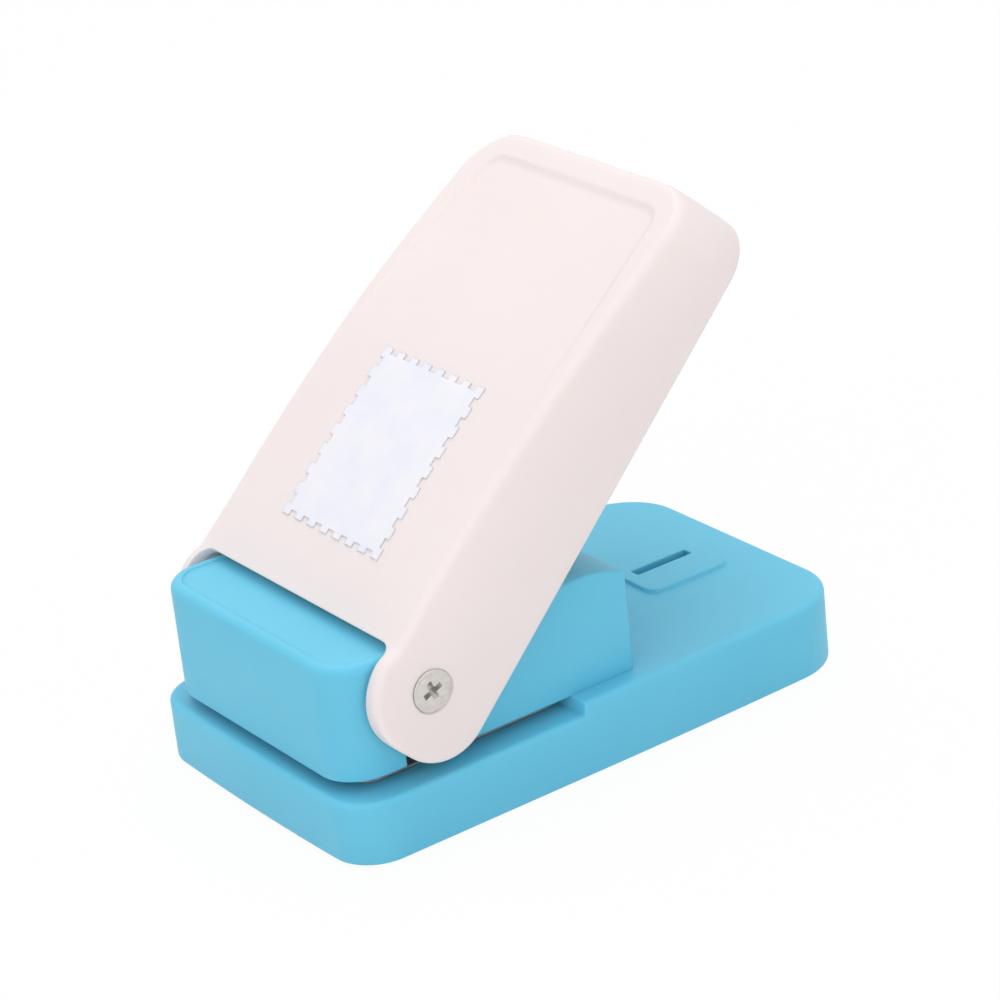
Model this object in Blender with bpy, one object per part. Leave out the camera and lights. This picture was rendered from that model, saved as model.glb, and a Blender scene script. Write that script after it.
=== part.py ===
"""Craft punch with a lever handle, which cuts a paper stamp with notched edges.

Paper goes into the mouth between the base and the upper housing. Pressing the handle turns two cams
against a pad on the punch holder, which drives the punch down through the guide frame and the die plate.
Two springs lift the holder again, and the cut stamp drops out through the bottom cover.

Frame: +Y runs from the paper mouth to the handle's free end, +X is the right side, +Z is up. The origin
is the middle of the footprint, on the surface that the rubber feet stand on. Lengths are in metres.
"""
import math

import bmesh
import bpy
import numpy as np

MM = 0.001

# Fits that every piece uses
SEAT = 0.3 * MM
SIDE_PLAY = 0.45 * MM
OVERRUN = 1.0 * MM
BITE = 0.6 * MM
WINDOW_PLAY = 0.7 * MM

# Base shell
BASE_LEDGE = 3.35 * MM
REAR_DECK_LENGTH = 39.2 * MM
BASE_DRAW_IN = 0.9 * MM
BASE_FRONT_BOW = 0.4 * MM
BASE_FRONT_CORNER = 9.6 * MM
BASE_REAR_CORNER = 10.4 * MM
BASE_EDGE_ROUND = 1.2 * MM
BASE_FOOT_ROUND = 0.4 * MM
BASE_WALL = 2.0 * MM
BASE_DECK = 2.4 * MM
FRONT_DECK = 9.6 * MM
REAR_DECK = 11.8 * MM
THROAT_MARGIN = 3.4 * MM
STEP_RUN = 0.5 * MM
BASE_RIB = 1.4 * MM
BASE_RIB_DROP = 3.5 * MM
REAR_RIB_SHARE = 0.28
BOW_SHARES = (0.2, 0.6)
BASE_FRONT_SHARES = (0.22, 0.34)
BASE_REAR_SHARES = (0.55, 0.65, 0.75, 0.83)

# Raised pad with a slit on the rear deck, where the handle's tongue enters
PAD_OFFSET = -0.8 * MM
PAD_HALF_WIDTH = 7.7 * MM
PAD_LENGTH = 15.3 * MM
PAD_INSET = 22.5 * MM
PAD_RISE = 0.8 * MM
PAD_CORNER = 1.8 * MM
SLIT_MARGIN = 2.5 * MM
SLIT_LENGTH = 10.4 * MM
SLIT_WIDTH = 1.8 * MM

# Bottom cover, its window and chute, and the feet
COVER_THICKNESS = 2.0 * MM
WINDOW_MARGIN = 0.8 * MM
WINDOW_CORNER = 1.5 * MM
CHUTE_WALL = 1.2 * MM
FOOT_RADIUS = 4.5 * MM
FOOT_PROUD = 0.5 * MM
FOOT_SINK = 0.8 * MM
FOOT_INSET = 8.9 * MM
FOOT_END = 10.6 * MM
COVER_SCREW_INSET = 6.9 * MM
COVER_SCREW_FRONT = 22.3 * MM
COVER_SCREW_REAR = 19.9 * MM
COVER_BOSS = 2.9 * MM

# Cut stamp, and the pieces that cut it
STAMP_HALF_WIDTH = 12.0 * MM
STAMP_HALF_LENGTH = 13.6 * MM
NOTCH_WIDTH = 1.5 * MM
NOTCH_DEPTH = 0.9 * MM
WIDTH_NOTCHES = 7
LENGTH_NOTCHES = 8
STAMP_MARGIN = 9.4 * MM
DIE_PROUD = 0.7 * MM
DIE_THICKNESS = 1.5 * MM
DIE_INSET = 1.85 * MM
DIE_FRONT = 5.0 * MM
DIE_CORNER = 3.0 * MM
DIE_SCREW_EDGE = 3.9 * MM
DIE_SCREW_INSET = 4.4 * MM
DIE_BOSS = 2.4 * MM
DIE_BOSS_DROP = 3.4 * MM
BLADE_HEIGHT = 4.8 * MM
BLADE_SHEAR = 0.9 * MM

# Upper housing
HOUSING_FRONT = 1.0 * MM
HOUSING_OVERLAP = 12.2 * MM
HOUSING_RISE = 5.7 * MM
HOUSING_SIDE_SHARES = (0.3, 0.6)
HOUSING_FALL_SHARES = (0.0, 0.22, 0.44)
BOSS_ROOT_SHARE = 0.4
HOUSING_CORNER = 9.4 * MM
HOUSING_REAR_CORNER = 2.8 * MM
HOUSING_EDGE_ROUND = 2.2 * MM
HOUSING_FALL_RUN = 8.2 * MM
HOUSING_FALL = 2.0 * MM
HOUSING_WALL = 1.8 * MM
HOUSING_PANEL_INSET = 2.5 * MM
HOUSING_PANEL_DEPTH = 0.3 * MM
REAR_BOSS = 3.3 * MM
REAR_BOSS_EDGE = 8.15 * MM
REAR_BOSS_INSET = 5.9 * MM
FRONT_BOSS = 2.9 * MM
FRONT_BOSS_EDGE = 11.15 * MM
FRONT_BOSS_INSET = 4.6 * MM

# Guide frame
GUIDE_THICKNESS = 1.2 * MM
CHEEK_FOOT = 6.0 * MM
CHEEK_ROUND = 3.5 * MM

# Pivot
PIVOT_BACK = 14.8 * MM
SHAFT_RADIUS = 2.0 * MM
COLLAR_RADIUS = 3.0 * MM
PIVOT_HEAD_RADIUS = 3.2 * MM
PIVOT_HEAD_DEPTH = 2.0 * MM
PIVOT_HEAD_SUNK = 0.1 * MM
PIVOT_SHANK_RADIUS = 1.0 * MM
PIVOT_SHANK_LENGTH = 8.0 * MM
RECESS_SPAN = 2.6 * MM
RECESS_WIDTH = 0.7 * MM
RECESS_DEPTH = 1.0 * MM

# Handle, drawn pressed flat with the pivot at its origin
HANDLE_OVERHANG = 2.8 * MM
EAR_WALL = 3.4 * MM
HANDLE_DECK_GAP = 0.6 * MM
HANDLE_TOP_GAP = 0.47 * MM
CROWN_BACK = 4.3 * MM
CROWN_FALL = 8.35 * MM
HANDLE_LEAN = 3.5 * MM
LEAN_HEIGHT = 11.0 * MM
HANDLE_CORNER = 8.2 * MM
HANDLE_EDGE_ROUND = 1.0 * MM
HANDLE_TOP_WALL = 1.5 * MM
HANDLE_END_WALL = 2.4 * MM
CAVITY_ROUND = 2.2 * MM
EAR_FRONT = 9.6 * MM
EAR_LOWER_ROUND = 8.0 * MM
EAR_UPPER_ROUND = 9.0 * MM
EAR_RISE = 1.0 * MM
EAR_RISE_RUN = 4.0 * MM
EAR_BLEND = 6.0 * MM
EAR_LEAN_SHARE = 0.4
EAR_SHARES = (-0.7, -0.35, -0.1, 0.15, 0.35, 0.6, 0.8, 1.0)
HANDLE_SHARES = (0.2, 0.32, 0.44, 0.56, 0.66, 0.76, 0.86, 0.94)
LABEL_SHARES = (0.15, 0.3, 0.45, 0.6, 0.75, 0.9)
MOUTH_BACK = 2.6 * MM
PANEL_DEPTH = 1.0 * MM
PANEL_START_SHARE = 0.53
PANEL_RUN_SHARE = 0.353
PANEL_LIFT = 0.1 * MM
PANEL_RIM = 3.9 * MM
PANEL_SIDE_RIM = 7.6 * MM
PANEL_WIDENING = 3.2 * MM
PANEL_CORNER = 4.0 * MM
RIB_WIDTH = 1.6 * MM
RIB_DEPTH = 4.5 * MM
RIB_SIDE = 10.0 * MM
RIB_CLEARANCE = 2.4 * MM
RIB_COUNT = 3
TONGUE_PLAY = 0.9 * MM
TONGUE_LENGTH = 6.5 * MM
TONGUE_WIDTH = 1.1 * MM
TONGUE_RIB_WIDTH = 2.6 * MM
TONGUE_DROP = 4.1 * MM

# Label on the handle
LABEL_START = 12.4 * MM
LABEL_HALF_LENGTH = 14.0 * MM
LABEL_THICKNESS = 0.25 * MM

# Press action: degrees the handle stands up at rest and stays up when pressed, and what the cams do
REST_DEGREES = 46.0
PRESSED_DEGREES = 2.0
PRESS_ARM = 4.7 * MM
PAD_BELOW_PIVOT = 1.5 * MM
PRESS_POST_HEIGHT = 1.8 * MM
PRESS_PAD_THICKNESS = 0.8 * MM
PRESS_PAD_HALF_WIDTH = 6.0 * MM
PRESS_PAD_HALF_LENGTH = 2.2 * MM
PRESS_PEG_RADIUS = 1.5 * MM
PRESS_PEG_LENGTH = 1.6 * MM
CAM_WIDTH = 2.5 * MM
CAM_SIDE = 3.75 * MM
CAM_FRONT = 2.6 * MM
CAM_FRONT_LEAN = 1.3 * MM
CAM_REAR = 8.5 * MM
CAM_NOSE = 0.9 * MM

# Punch holder and springs
HOLDER_THICKNESS = 2.1 * MM
HOLDER_MARGIN = 0.3 * MM
HOLDER_CORNER = 1.5 * MM
WELL_OFFSET = 4.3 * MM
WELL_BORE = 2.9 * MM
WELL_WALL = 0.9 * MM
WELL_PLAY = 0.75 * MM
WELL_ROOF = 1.2 * MM
WELL_TOP_GAP = 1.0 * MM
SPRING_RADIUS = 2.1 * MM
SPRING_WIRE = 0.3 * MM
SPRING_TURNS = 7
SPRING_POINTS = 9
PIN_RADIUS = 1.2 * MM
PIN_FLANGE = 2.0 * MM
PIN_FLANGE_HEIGHT = 0.6 * MM
PIN_LENGTH = 7.0 * MM
PUNCH_SCREW_INSET = 3.4 * MM

# Small screws
SCREW_RADIUS = 0.9 * MM
SCREW_HEAD = 1.8 * MM
SCREW_HEAD_HEIGHT = 0.9 * MM
LONG_SCREW_RADIUS = 1.25 * MM
LONG_SCREW_HEAD = 2.5 * MM
LONG_SCREW_HEAD_HEIGHT = 1.5 * MM
LONG_SCREW_REACH = 10.0 * MM
SHORT_REACH = 3.4 * MM

# Facets
ROUND_SIDES = 20
SMALL_SIDES = 12
CORNER_STEPS = 5
EDGE_STEPS = 3
CAM_STEPS = 8

# Widths that follow from the stamp's, from the inside out
WELL_RADIUS = WELL_BORE + WELL_WALL
WELL_SIDE = STAMP_HALF_WIDTH + WELL_OFFSET
GUIDE_HALF_WIDTH = WELL_SIDE + WELL_RADIUS + WELL_PLAY + GUIDE_THICKNESS
HOUSING_HALF_WIDTH = GUIDE_HALF_WIDTH + SEAT + HOUSING_WALL
DIE_HALF_WIDTH = HOUSING_HALF_WIDTH - DIE_INSET
BASE_HALF_WIDTH = HOUSING_HALF_WIDTH + BASE_LEDGE
EAR_INNER = HOUSING_HALF_WIDTH + SIDE_PLAY
HANDLE_HALF_WIDTH = EAR_INNER + EAR_WALL
PANEL_END_HALF = HANDLE_HALF_WIDTH - PANEL_SIDE_RIM

# Lengths that follow from the stamp's, measured from the base's front or from the pivot
STAMP_BACK = STAMP_MARGIN + STAMP_HALF_LENGTH
THROAT = STAMP_BACK + STAMP_HALF_LENGTH + THROAT_MARGIN
HOUSING_REAR = THROAT + HOUSING_OVERLAP
BASE_LENGTH = HOUSING_REAR + REAR_DECK_LENGTH
REAR_RIB_SPACING = REAR_DECK_LENGTH * REAR_RIB_SHARE
PAD_START = BASE_LENGTH - PAD_INSET
SLIT_START = PAD_START + SLIT_MARGIN
HANDLE_REACH = BASE_LENGTH - PIVOT_BACK + HANDLE_OVERHANG
PANEL_START = HANDLE_REACH * PANEL_START_SHARE
PANEL_RUN = HANDLE_REACH * PANEL_RUN_SHARE
RIB_START = HOUSING_REAR - PIVOT_BACK + RIB_CLEARANCE
RIB_SPACING = (HANDLE_REACH - HANDLE_END_WALL - RIB_START) / RIB_COUNT
TONGUE_START = SLIT_START - PIVOT_BACK + TONGUE_PLAY

# Places worked out from the sizes above, with heights from the base's bottom rim
FRONT = (BASE_FRONT_BOW - BASE_LENGTH) / 2
REAR = FRONT + BASE_LENGTH
PIVOT_Y = FRONT + PIVOT_BACK
STAMP_Y = FRONT + STAMP_BACK
HOUSING_BOTTOM = REAR_DECK + SEAT
GUIDE_TOP = HOUSING_BOTTOM + GUIDE_THICKNESS
DIE_TOP = FRONT_DECK + DIE_PROUD
DIE_BOTTOM = DIE_TOP - DIE_THICKNESS
DIE_REAR = FRONT + THROAT - SEAT
BLADE_BOTTOM = HOUSING_BOTTOM + SEAT
BLADE_TOP = BLADE_BOTTOM + BLADE_HEIGHT
HOLDER_BOTTOM = BLADE_TOP + SEAT
HOLDER_TOP = HOLDER_BOTTOM + HOLDER_THICKNESS
PRESS_PAD_BOTTOM = HOLDER_TOP + PRESS_POST_HEIGHT
PRESS_PAD_TOP = PRESS_PAD_BOTTOM + PRESS_PAD_THICKNESS
PIVOT_HEIGHT = PRESS_PAD_TOP + PAD_BELOW_PIVOT
HOUSING_TOP = PIVOT_HEIGHT + HOUSING_RISE
CEILING = HOUSING_TOP - HOUSING_WALL
HANDLE_BELOW = PIVOT_HEIGHT - REAR_DECK - HANDLE_DECK_GAP
HANDLE_ABOVE = HOUSING_RISE + HANDLE_TOP_GAP + HANDLE_TOP_WALL
PRESS_PAD_Y = PIVOT_Y + PRESS_ARM
WELL_TOP = CEILING - WELL_TOP_GAP
SPRING_LOW = GUIDE_TOP + SEAT + PIN_FLANGE_HEIGHT + SEAT + SPRING_WIRE
SPRING_HIGH = WELL_TOP - WELL_ROOF - SEAT - SPRING_WIRE
FEET = [(side * (BASE_HALF_WIDTH - FOOT_INSET), y)
        for side in (-1, 1) for y in (FRONT + FOOT_END, REAR - FOOT_END)]
COVER_SCREWS = [(side * (BASE_HALF_WIDTH - COVER_SCREW_INSET), y)
                for side in (-1, 1) for y in (FRONT + COVER_SCREW_FRONT, REAR - COVER_SCREW_REAR)]
DIE_SCREWS = [(side * (DIE_HALF_WIDTH - DIE_SCREW_EDGE), y)
              for side in (-1, 1) for y in (FRONT + DIE_FRONT + DIE_SCREW_INSET, DIE_REAR - DIE_SCREW_INSET)]
HOUSING_SCREWS = [(side * (HOUSING_HALF_WIDTH - REAR_BOSS_EDGE), FRONT + HOUSING_REAR - REAR_BOSS_INSET)
                  for side in (-1, 1)]
GUIDE_SCREWS = [(side * (HOUSING_HALF_WIDTH - FRONT_BOSS_EDGE), FRONT + HOUSING_FRONT + FRONT_BOSS_INSET)
                for side in (-1, 1)]
PUNCH_SCREWS = [(side * (STAMP_HALF_WIDTH - PUNCH_SCREW_INSET),
                 STAMP_Y + end * (STAMP_HALF_LENGTH - PUNCH_SCREW_INSET))
                for side in (-1, 1) for end in (-1, 1)]


def clear_scene():
    """Start from an empty scene."""
    for item in list(bpy.data.objects):
        bpy.data.objects.remove(item, do_unlink=True)


def linear(red, green, blue):
    """Screen colour in 0 to 255 as the linear values that a shader takes."""
    return tuple((value / 255) ** 2.2 for value in (red, green, blue)) + (1.0,)


def material(name, colour, roughness, metallic=0.0):
    """Principled material with a plain colour."""
    made = bpy.data.materials.new(name)
    made.use_nodes = True
    shader = made.node_tree.nodes["Principled BSDF"]
    shader.inputs["Base Color"].default_value = colour
    shader.inputs["Roughness"].default_value = roughness
    shader.inputs["Metallic"].default_value = metallic
    made.diffuse_color = colour
    return made


def smooth_step(value):
    """Zero below 0, one above 1, and an even S between."""
    share = min(max(value, 0.0), 1.0)
    return share * share * (3 - 2 * share)


# Outlines in a plane

def arc(centre_x, centre_y, radius, start, stop, steps=CORNER_STEPS):
    """Points on a circle, with angles in degrees from the first axis to the second."""
    angles = [math.radians(start + (stop - start) * step / steps) for step in range(steps + 1)]
    return [(centre_x + radius * math.cos(angle), centre_y + radius * math.sin(angle)) for angle in angles]


def rectangle(low_x, high_x, low_y, high_y, corner=0.0):
    """Rectangle with equal round corners."""
    if corner == 0.0:
        return [(low_x, low_y), (high_x, low_y), (high_x, high_y), (low_x, high_y)]
    return (arc(high_x - corner, low_y + corner, corner, -90, 0)
            + arc(high_x - corner, high_y - corner, corner, 0, 90)
            + arc(low_x + corner, high_y - corner, corner, 90, 180)
            + arc(low_x + corner, low_y + corner, corner, 180, 270))


def stamp_outline(half_width, half_length, growth=0.0):
    """Rectangle with square notches in every side, grown outward on every edge."""
    points = []
    turns = ((half_width, half_length, WIDTH_NOTCHES, lambda a, b: (a, -b)),
             (half_length, half_width, LENGTH_NOTCHES, lambda a, b: (b, a)),
             (half_width, half_length, WIDTH_NOTCHES, lambda a, b: (-a, b)),
             (half_length, half_width, LENGTH_NOTCHES, lambda a, b: (-b, -a)))
    for along, out, count, turn in turns:
        edge = out + growth
        reach = NOTCH_WIDTH / 2 - growth
        for index in range(count):
            middle = along * ((2 * index + 1) / count - 1)
            points.append(turn(middle - reach, edge))
            points.append(turn(middle - reach, edge - NOTCH_DEPTH))
            points.append(turn(middle + reach, edge - NOTCH_DEPTH))
            points.append(turn(middle + reach, edge))
        points.append(turn(along + growth, edge))
    return points


def half_plan(front, rear, half_width, front_corner, rear_corner, stations, bow=0.0):
    """Right half of a plan with round corners, from the front's middle to the rear's middle."""
    flat = half_width - front_corner
    points = [(flat * share, front - bow * (1 - share * share)) for share in BOW_SHARES if bow > 0]
    points += arc(half_width - front_corner, front + front_corner, front_corner, -90, 0)
    points += [(half_width, y) for y in stations]
    points += arc(half_width - rear_corner, rear - rear_corner, rear_corner, 0, 90)
    return points


def ring(half, height):
    """Closed ring from the right half of a plan, each point at the height for its place along Y."""
    right = [(x, y, height(y)) for x, y in half]
    return right + [(-x, y, z) for x, y, z in reversed(right)]


def edge_profile(radius):
    """Inset and depth along a quarter round, from the side up to the top."""
    turns = [math.radians(90 * step / EDGE_STEPS) for step in range(EDGE_STEPS + 1)]
    return [(radius * (1 - math.cos(turn)), radius * (1 - math.sin(turn))) for turn in turns]


# Closed meshes

def loft(rings):
    """Solid through rings whose right and left halves mirror each other, closed by cross strips."""
    mesh = bmesh.new()
    rows = [[mesh.verts.new(point) for point in points] for points in rings]
    count = len(rows[0])
    for lower, upper in zip(rows, rows[1:]):
        for index in range(count):
            after = (index + 1) % count
            mesh.faces.new((lower[index], lower[after], upper[after], upper[index]))
    for row in (rows[0], rows[-1]):
        for index in range(count // 2 - 1):
            mesh.faces.new((row[index], row[index + 1], row[count - 2 - index], row[count - 1 - index]))
    return mesh


def prism(outline, low, high, axis="Z"):
    """Outline extruded along Z, or along X when its points are given as Y and Z."""
    mesh = bmesh.new()
    rows = []
    for level in (low, high):
        places = [(a, b, level) if axis == "Z" else (level, a, b) for a, b in outline]
        rows.append([mesh.verts.new(place) for place in places])
    count = len(outline)
    for index in range(count):
        after = (index + 1) % count
        mesh.faces.new((rows[0][index], rows[0][after], rows[1][after], rows[1][index]))
    for row in rows:
        mesh.faces.new(row)
    return mesh


def turned(profile, sides=SMALL_SIDES, axis="Z", hollow=False):
    """Profile of radius and height points turned round Z or X, with flat ends or closed as a tube."""
    mesh = bmesh.new()
    rows = []
    for radius, height in profile:
        row = []
        for step in range(sides):
            turn = 2 * math.pi * step / sides
            a, b = radius * math.cos(turn), radius * math.sin(turn)
            row.append(mesh.verts.new((a, b, height) if axis == "Z" else (height, a, b)))
        rows.append(row)
    pairs = list(zip(rows, rows[1:]))
    if hollow:
        pairs.append((rows[-1], rows[0]))
    else:
        mesh.faces.new(rows[0])
        mesh.faces.new(rows[-1])
    for lower, upper in pairs:
        for index in range(sides):
            after = (index + 1) % sides
            mesh.faces.new((lower[index], lower[after], upper[after], upper[index]))
    return mesh


def rod(radius, low, high, sides=SMALL_SIDES, axis="Z"):
    """Plain cylinder."""
    return turned([(radius, low), (radius, high)], sides, axis)


def shape(mesh, places=((0.0, 0.0),), height=0.0):
    """Object that holds one copy of the mesh at each place."""
    data = bpy.data.meshes.new("shape")
    bmesh.ops.recalc_face_normals(mesh, faces=mesh.faces)
    gathered = bmesh.new()
    for x, y in places:
        copied = mesh.copy()
        bmesh.ops.translate(copied, verts=copied.verts, vec=(x, y, height))
        copied.to_mesh(data)
        gathered.from_mesh(data)
        copied.free()
    gathered.to_mesh(data)
    gathered.free()
    mesh.free()
    item = bpy.data.objects.new("shape", data)
    bpy.context.collection.objects.link(item)
    return item


def apply_boolean(target, tool, operation):
    """Boolean of two objects, kept in the first, after which the second is gone."""
    modifier = target.modifiers.new(operation, "BOOLEAN")
    modifier.operation = operation
    modifier.solver = "EXACT"
    modifier.object = tool
    evaluated = target.evaluated_get(bpy.context.evaluated_depsgraph_get())
    result = bpy.data.meshes.new_from_object(evaluated)
    target.modifiers.clear()
    target.data = result
    bpy.data.objects.remove(tool, do_unlink=True)


def add(target, *tools):
    """Join each tool to the target."""
    for tool in tools:
        apply_boolean(target, tool, "UNION")


def cut(target, *tools):
    """Cut each tool out of the target."""
    for tool in tools:
        apply_boolean(target, tool, "DIFFERENCE")


def finish(item, name, look, parent, angle=35.0):
    """Name, material, shading and parent of a finished piece."""
    item.name = name
    item.data.name = name
    item.data.materials.clear()
    item.data.materials.append(look)
    item.data.shade_smooth()
    item.data.set_sharp_from_angle(angle=math.radians(angle))
    item.parent = parent
    return item


def spread(item, name, places, look, parent, height=0.0):
    """One object at each place, all with the same mesh and each named after its corner."""
    finish(item, name, look, parent)
    middle = sum(y for x, y in places) / len(places)
    for x, y in places:
        end = "" if len(places) == 2 else ("front_" if y < middle else "rear_")
        copied = item.copy()
        copied.name = name + "_" + end + ("right" if x > 0 else "left")
        copied.location = (x, y, height)
        bpy.context.collection.objects.link(copied)
    bpy.data.objects.remove(item, do_unlink=True)


def empty(name, y, z, degrees=0.0):
    """Empty that carries the pieces of one body."""
    item = bpy.data.objects.new(name, None)
    item.location = (0.0, y, z)
    item.rotation_euler = (math.radians(degrees), 0.0, 0.0)
    bpy.context.collection.objects.link(item)
    return item


def countersunk(head, depth, shank, length):
    """Profile of a flat head screw that points down from height 0."""
    return [(shank, -length), (shank, -depth), (head, 0.0)]


def capped(head, thickness, shank, length):
    """Profile of a screw with a flat cylinder head above height 0."""
    return [(shank, -length), (shank, 0.0), (head, 0.0), (head, thickness)]


# Base and what is under it

def deck(y):
    """Height of the base's top: low in the throat, then a short raked step up to the rear deck."""
    return FRONT_DECK + (REAR_DECK - FRONT_DECK) * min(max((y - FRONT - THROAT) / STEP_RUN, 0.0), 1.0)


def base_plan(inset):
    """Right half of the base's plan, drawn in toward the rear, moved inward by the inset."""
    stations = [FRONT + BASE_LENGTH * share for share in BASE_FRONT_SHARES]
    stations += [FRONT + THROAT, FRONT + THROAT + STEP_RUN]
    stations += [FRONT + BASE_LENGTH * share for share in BASE_REAR_SHARES]
    half = half_plan(FRONT + inset, REAR - inset, BASE_HALF_WIDTH - inset, BASE_FRONT_CORNER - inset,
                     BASE_REAR_CORNER - inset, stations, BASE_FRONT_BOW)
    return [(x * (1 - BASE_DRAW_IN / BASE_HALF_WIDTH * max(y / REAR, 0.0) ** 2), y) for x, y in half]


def opening_outline(margin, corner=WINDOW_CORNER):
    """Rectangle round the stamp, larger by the margin on every side."""
    return rectangle(-STAMP_HALF_WIDTH - margin, STAMP_HALF_WIDTH + margin,
                     STAMP_Y - STAMP_HALF_LENGTH - margin, STAMP_Y + STAMP_HALF_LENGTH + margin, corner)


def pad_outline():
    """Plan of the raised pad on the rear deck."""
    return rectangle(PAD_OFFSET - PAD_HALF_WIDTH, PAD_OFFSET + PAD_HALF_WIDTH,
                     FRONT + PAD_START, FRONT + PAD_START + PAD_LENGTH, PAD_CORNER)


def make_base_shell(look, parent):
    """Open shell with two deck heights, the die's pocket, the pad with its slit, bosses and ribs."""
    rings = [ring(base_plan(BASE_FOOT_ROUND), lambda y: 0.0),
             ring(base_plan(0.0), lambda y: BASE_FOOT_ROUND)]
    for inset, depth in edge_profile(BASE_EDGE_ROUND):
        rings.append(ring(base_plan(inset), lambda y, depth=depth: deck(y) - depth))
    base = shape(loft(rings))
    cut(base, shape(loft([ring(base_plan(BASE_WALL), lambda y: -OVERRUN),
                          ring(base_plan(BASE_WALL), lambda y: deck(y) - BASE_DECK)])))
    boss_low = COVER_THICKNESS + SEAT
    rear_ceiling = REAR_DECK - BASE_DECK
    front_ceiling = FRONT_DECK - BASE_DECK
    tube_low = boss_low + LONG_SCREW_HEAD_HEIGHT + SEAT
    add(base,
        shape(prism(pad_outline(), REAR_DECK - BITE, REAR_DECK + PAD_RISE)),
        shape(rod(REAR_BOSS, tube_low, rear_ceiling + BITE), HOUSING_SCREWS),
        shape(rod(DIE_BOSS, front_ceiling - DIE_BOSS_DROP, front_ceiling + BITE), DIE_SCREWS))
    for x, y in COVER_SCREWS:
        add(base, shape(rod(COVER_BOSS, boss_low, deck(y) - BASE_DECK + BITE), ((x, y),)))
    rib_half = BASE_HALF_WIDTH - BASE_DRAW_IN - BASE_WALL + BITE
    for index in range(RIB_COUNT):
        y = FRONT + HOUSING_REAR + REAR_RIB_SPACING * (index + 1 / 2)
        add(base, shape(prism(rectangle(-rib_half, rib_half, y - BASE_RIB / 2, y + BASE_RIB / 2),
                              rear_ceiling - BASE_RIB_DROP, rear_ceiling + BITE)))
    slit_x = PAD_OFFSET
    slit_y = FRONT + SLIT_START
    cut(base,
        shape(prism(rectangle(-DIE_HALF_WIDTH - SEAT, DIE_HALF_WIDTH + SEAT, FRONT + DIE_FRONT - SEAT,
                              FRONT + THROAT, DIE_CORNER), DIE_BOTTOM - SEAT, FRONT_DECK + OVERRUN)),
        shape(prism(opening_outline(WINDOW_MARGIN + CHUTE_WALL), 0.0, REAR_DECK)),
        shape(prism(rectangle(slit_x - SLIT_WIDTH / 2, slit_x + SLIT_WIDTH / 2, slit_y,
                              slit_y + SLIT_LENGTH), BASE_RIB_DROP, REAR_DECK + PAD_RISE + OVERRUN)),
        shape(rod(SCREW_RADIUS + SEAT, 0.0, boss_low + SHORT_REACH + SEAT), COVER_SCREWS),
        shape(rod(LONG_SCREW_RADIUS + SEAT, 0.0, REAR_DECK + OVERRUN), HOUSING_SCREWS),
        shape(rod(SCREW_RADIUS + SEAT, front_ceiling - DIE_BOSS_DROP - OVERRUN, DIE_TOP), DIE_SCREWS))
    return finish(base, "base_shell", look, parent)


def make_bottom_cover(look, parent):
    """Plate let into the base's rim, with the stamp window, its chute and the feet's recesses."""
    inset = BASE_WALL + SEAT
    cover = shape(loft([ring(base_plan(inset), lambda y: 0.0),
                        ring(base_plan(inset), lambda y: COVER_THICKNESS)]))
    chute_top = FRONT_DECK - BASE_DECK - SEAT
    add(cover, shape(prism(opening_outline(WINDOW_MARGIN + CHUTE_WALL), COVER_THICKNESS - BITE, chute_top)))
    cut(cover,
        shape(prism(opening_outline(WINDOW_MARGIN), -OVERRUN, chute_top + OVERRUN)),
        shape(rod(FOOT_RADIUS + SEAT, -OVERRUN, FOOT_SINK + SEAT, ROUND_SIDES), FEET),
        shape(turned([(SCREW_RADIUS + SEAT, COVER_THICKNESS + OVERRUN),
                      (SCREW_RADIUS + SEAT, SCREW_HEAD_HEIGHT + SEAT),
                      (SCREW_HEAD + SEAT, SCREW_HEAD_HEIGHT + SEAT),
                      (SCREW_HEAD + SEAT, -OVERRUN)]), COVER_SCREWS))
    return finish(cover, "bottom_cover", look, parent)


def make_cover_screws(look, parent):
    """Four screws that point up through the cover into the base's bosses."""
    reach = COVER_THICKNESS + SEAT + SHORT_REACH - SEAT
    profile = [(SCREW_HEAD, 0.0), (SCREW_HEAD, SCREW_HEAD_HEIGHT), (SCREW_RADIUS, SCREW_HEAD_HEIGHT),
               (SCREW_RADIUS, reach)]
    spread(shape(turned(profile)), "cover_screw", COVER_SCREWS, look, parent)


def make_feet(look, parent):
    """Four round rubber feet, a little proud of the base's rim."""
    edge = FOOT_PROUD / 2
    profile = [(FOOT_RADIUS - edge, -FOOT_PROUD), (FOOT_RADIUS, edge - FOOT_PROUD), (FOOT_RADIUS, FOOT_SINK)]
    spread(shape(turned(profile, ROUND_SIDES)), "rubber_foot", FEET, look, parent)


# Die, guide and housing

def make_die_plate(look, parent):
    """Steel plate in the front deck's pocket, with the stamp opening and four countersunk holes."""
    plate = shape(prism(rectangle(-DIE_HALF_WIDTH, DIE_HALF_WIDTH, FRONT + DIE_FRONT, DIE_REAR,
                                  DIE_CORNER - SEAT), DIE_BOTTOM, DIE_TOP))
    opening = [(x, y + STAMP_Y) for x, y in stamp_outline(STAMP_HALF_WIDTH, STAMP_HALF_LENGTH, SEAT)]
    cut(plate,
        shape(prism(opening, DIE_BOTTOM - OVERRUN, DIE_TOP + OVERRUN)),
        shape(turned([(SCREW_RADIUS + SEAT, DIE_BOTTOM - OVERRUN),
                      (SCREW_RADIUS + SEAT, DIE_TOP - SCREW_HEAD_HEIGHT),
                      (SCREW_HEAD + SEAT, DIE_TOP), (SCREW_HEAD + SEAT, DIE_TOP + OVERRUN)]), DIE_SCREWS))
    return finish(plate, "die_plate", look, parent)


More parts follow.
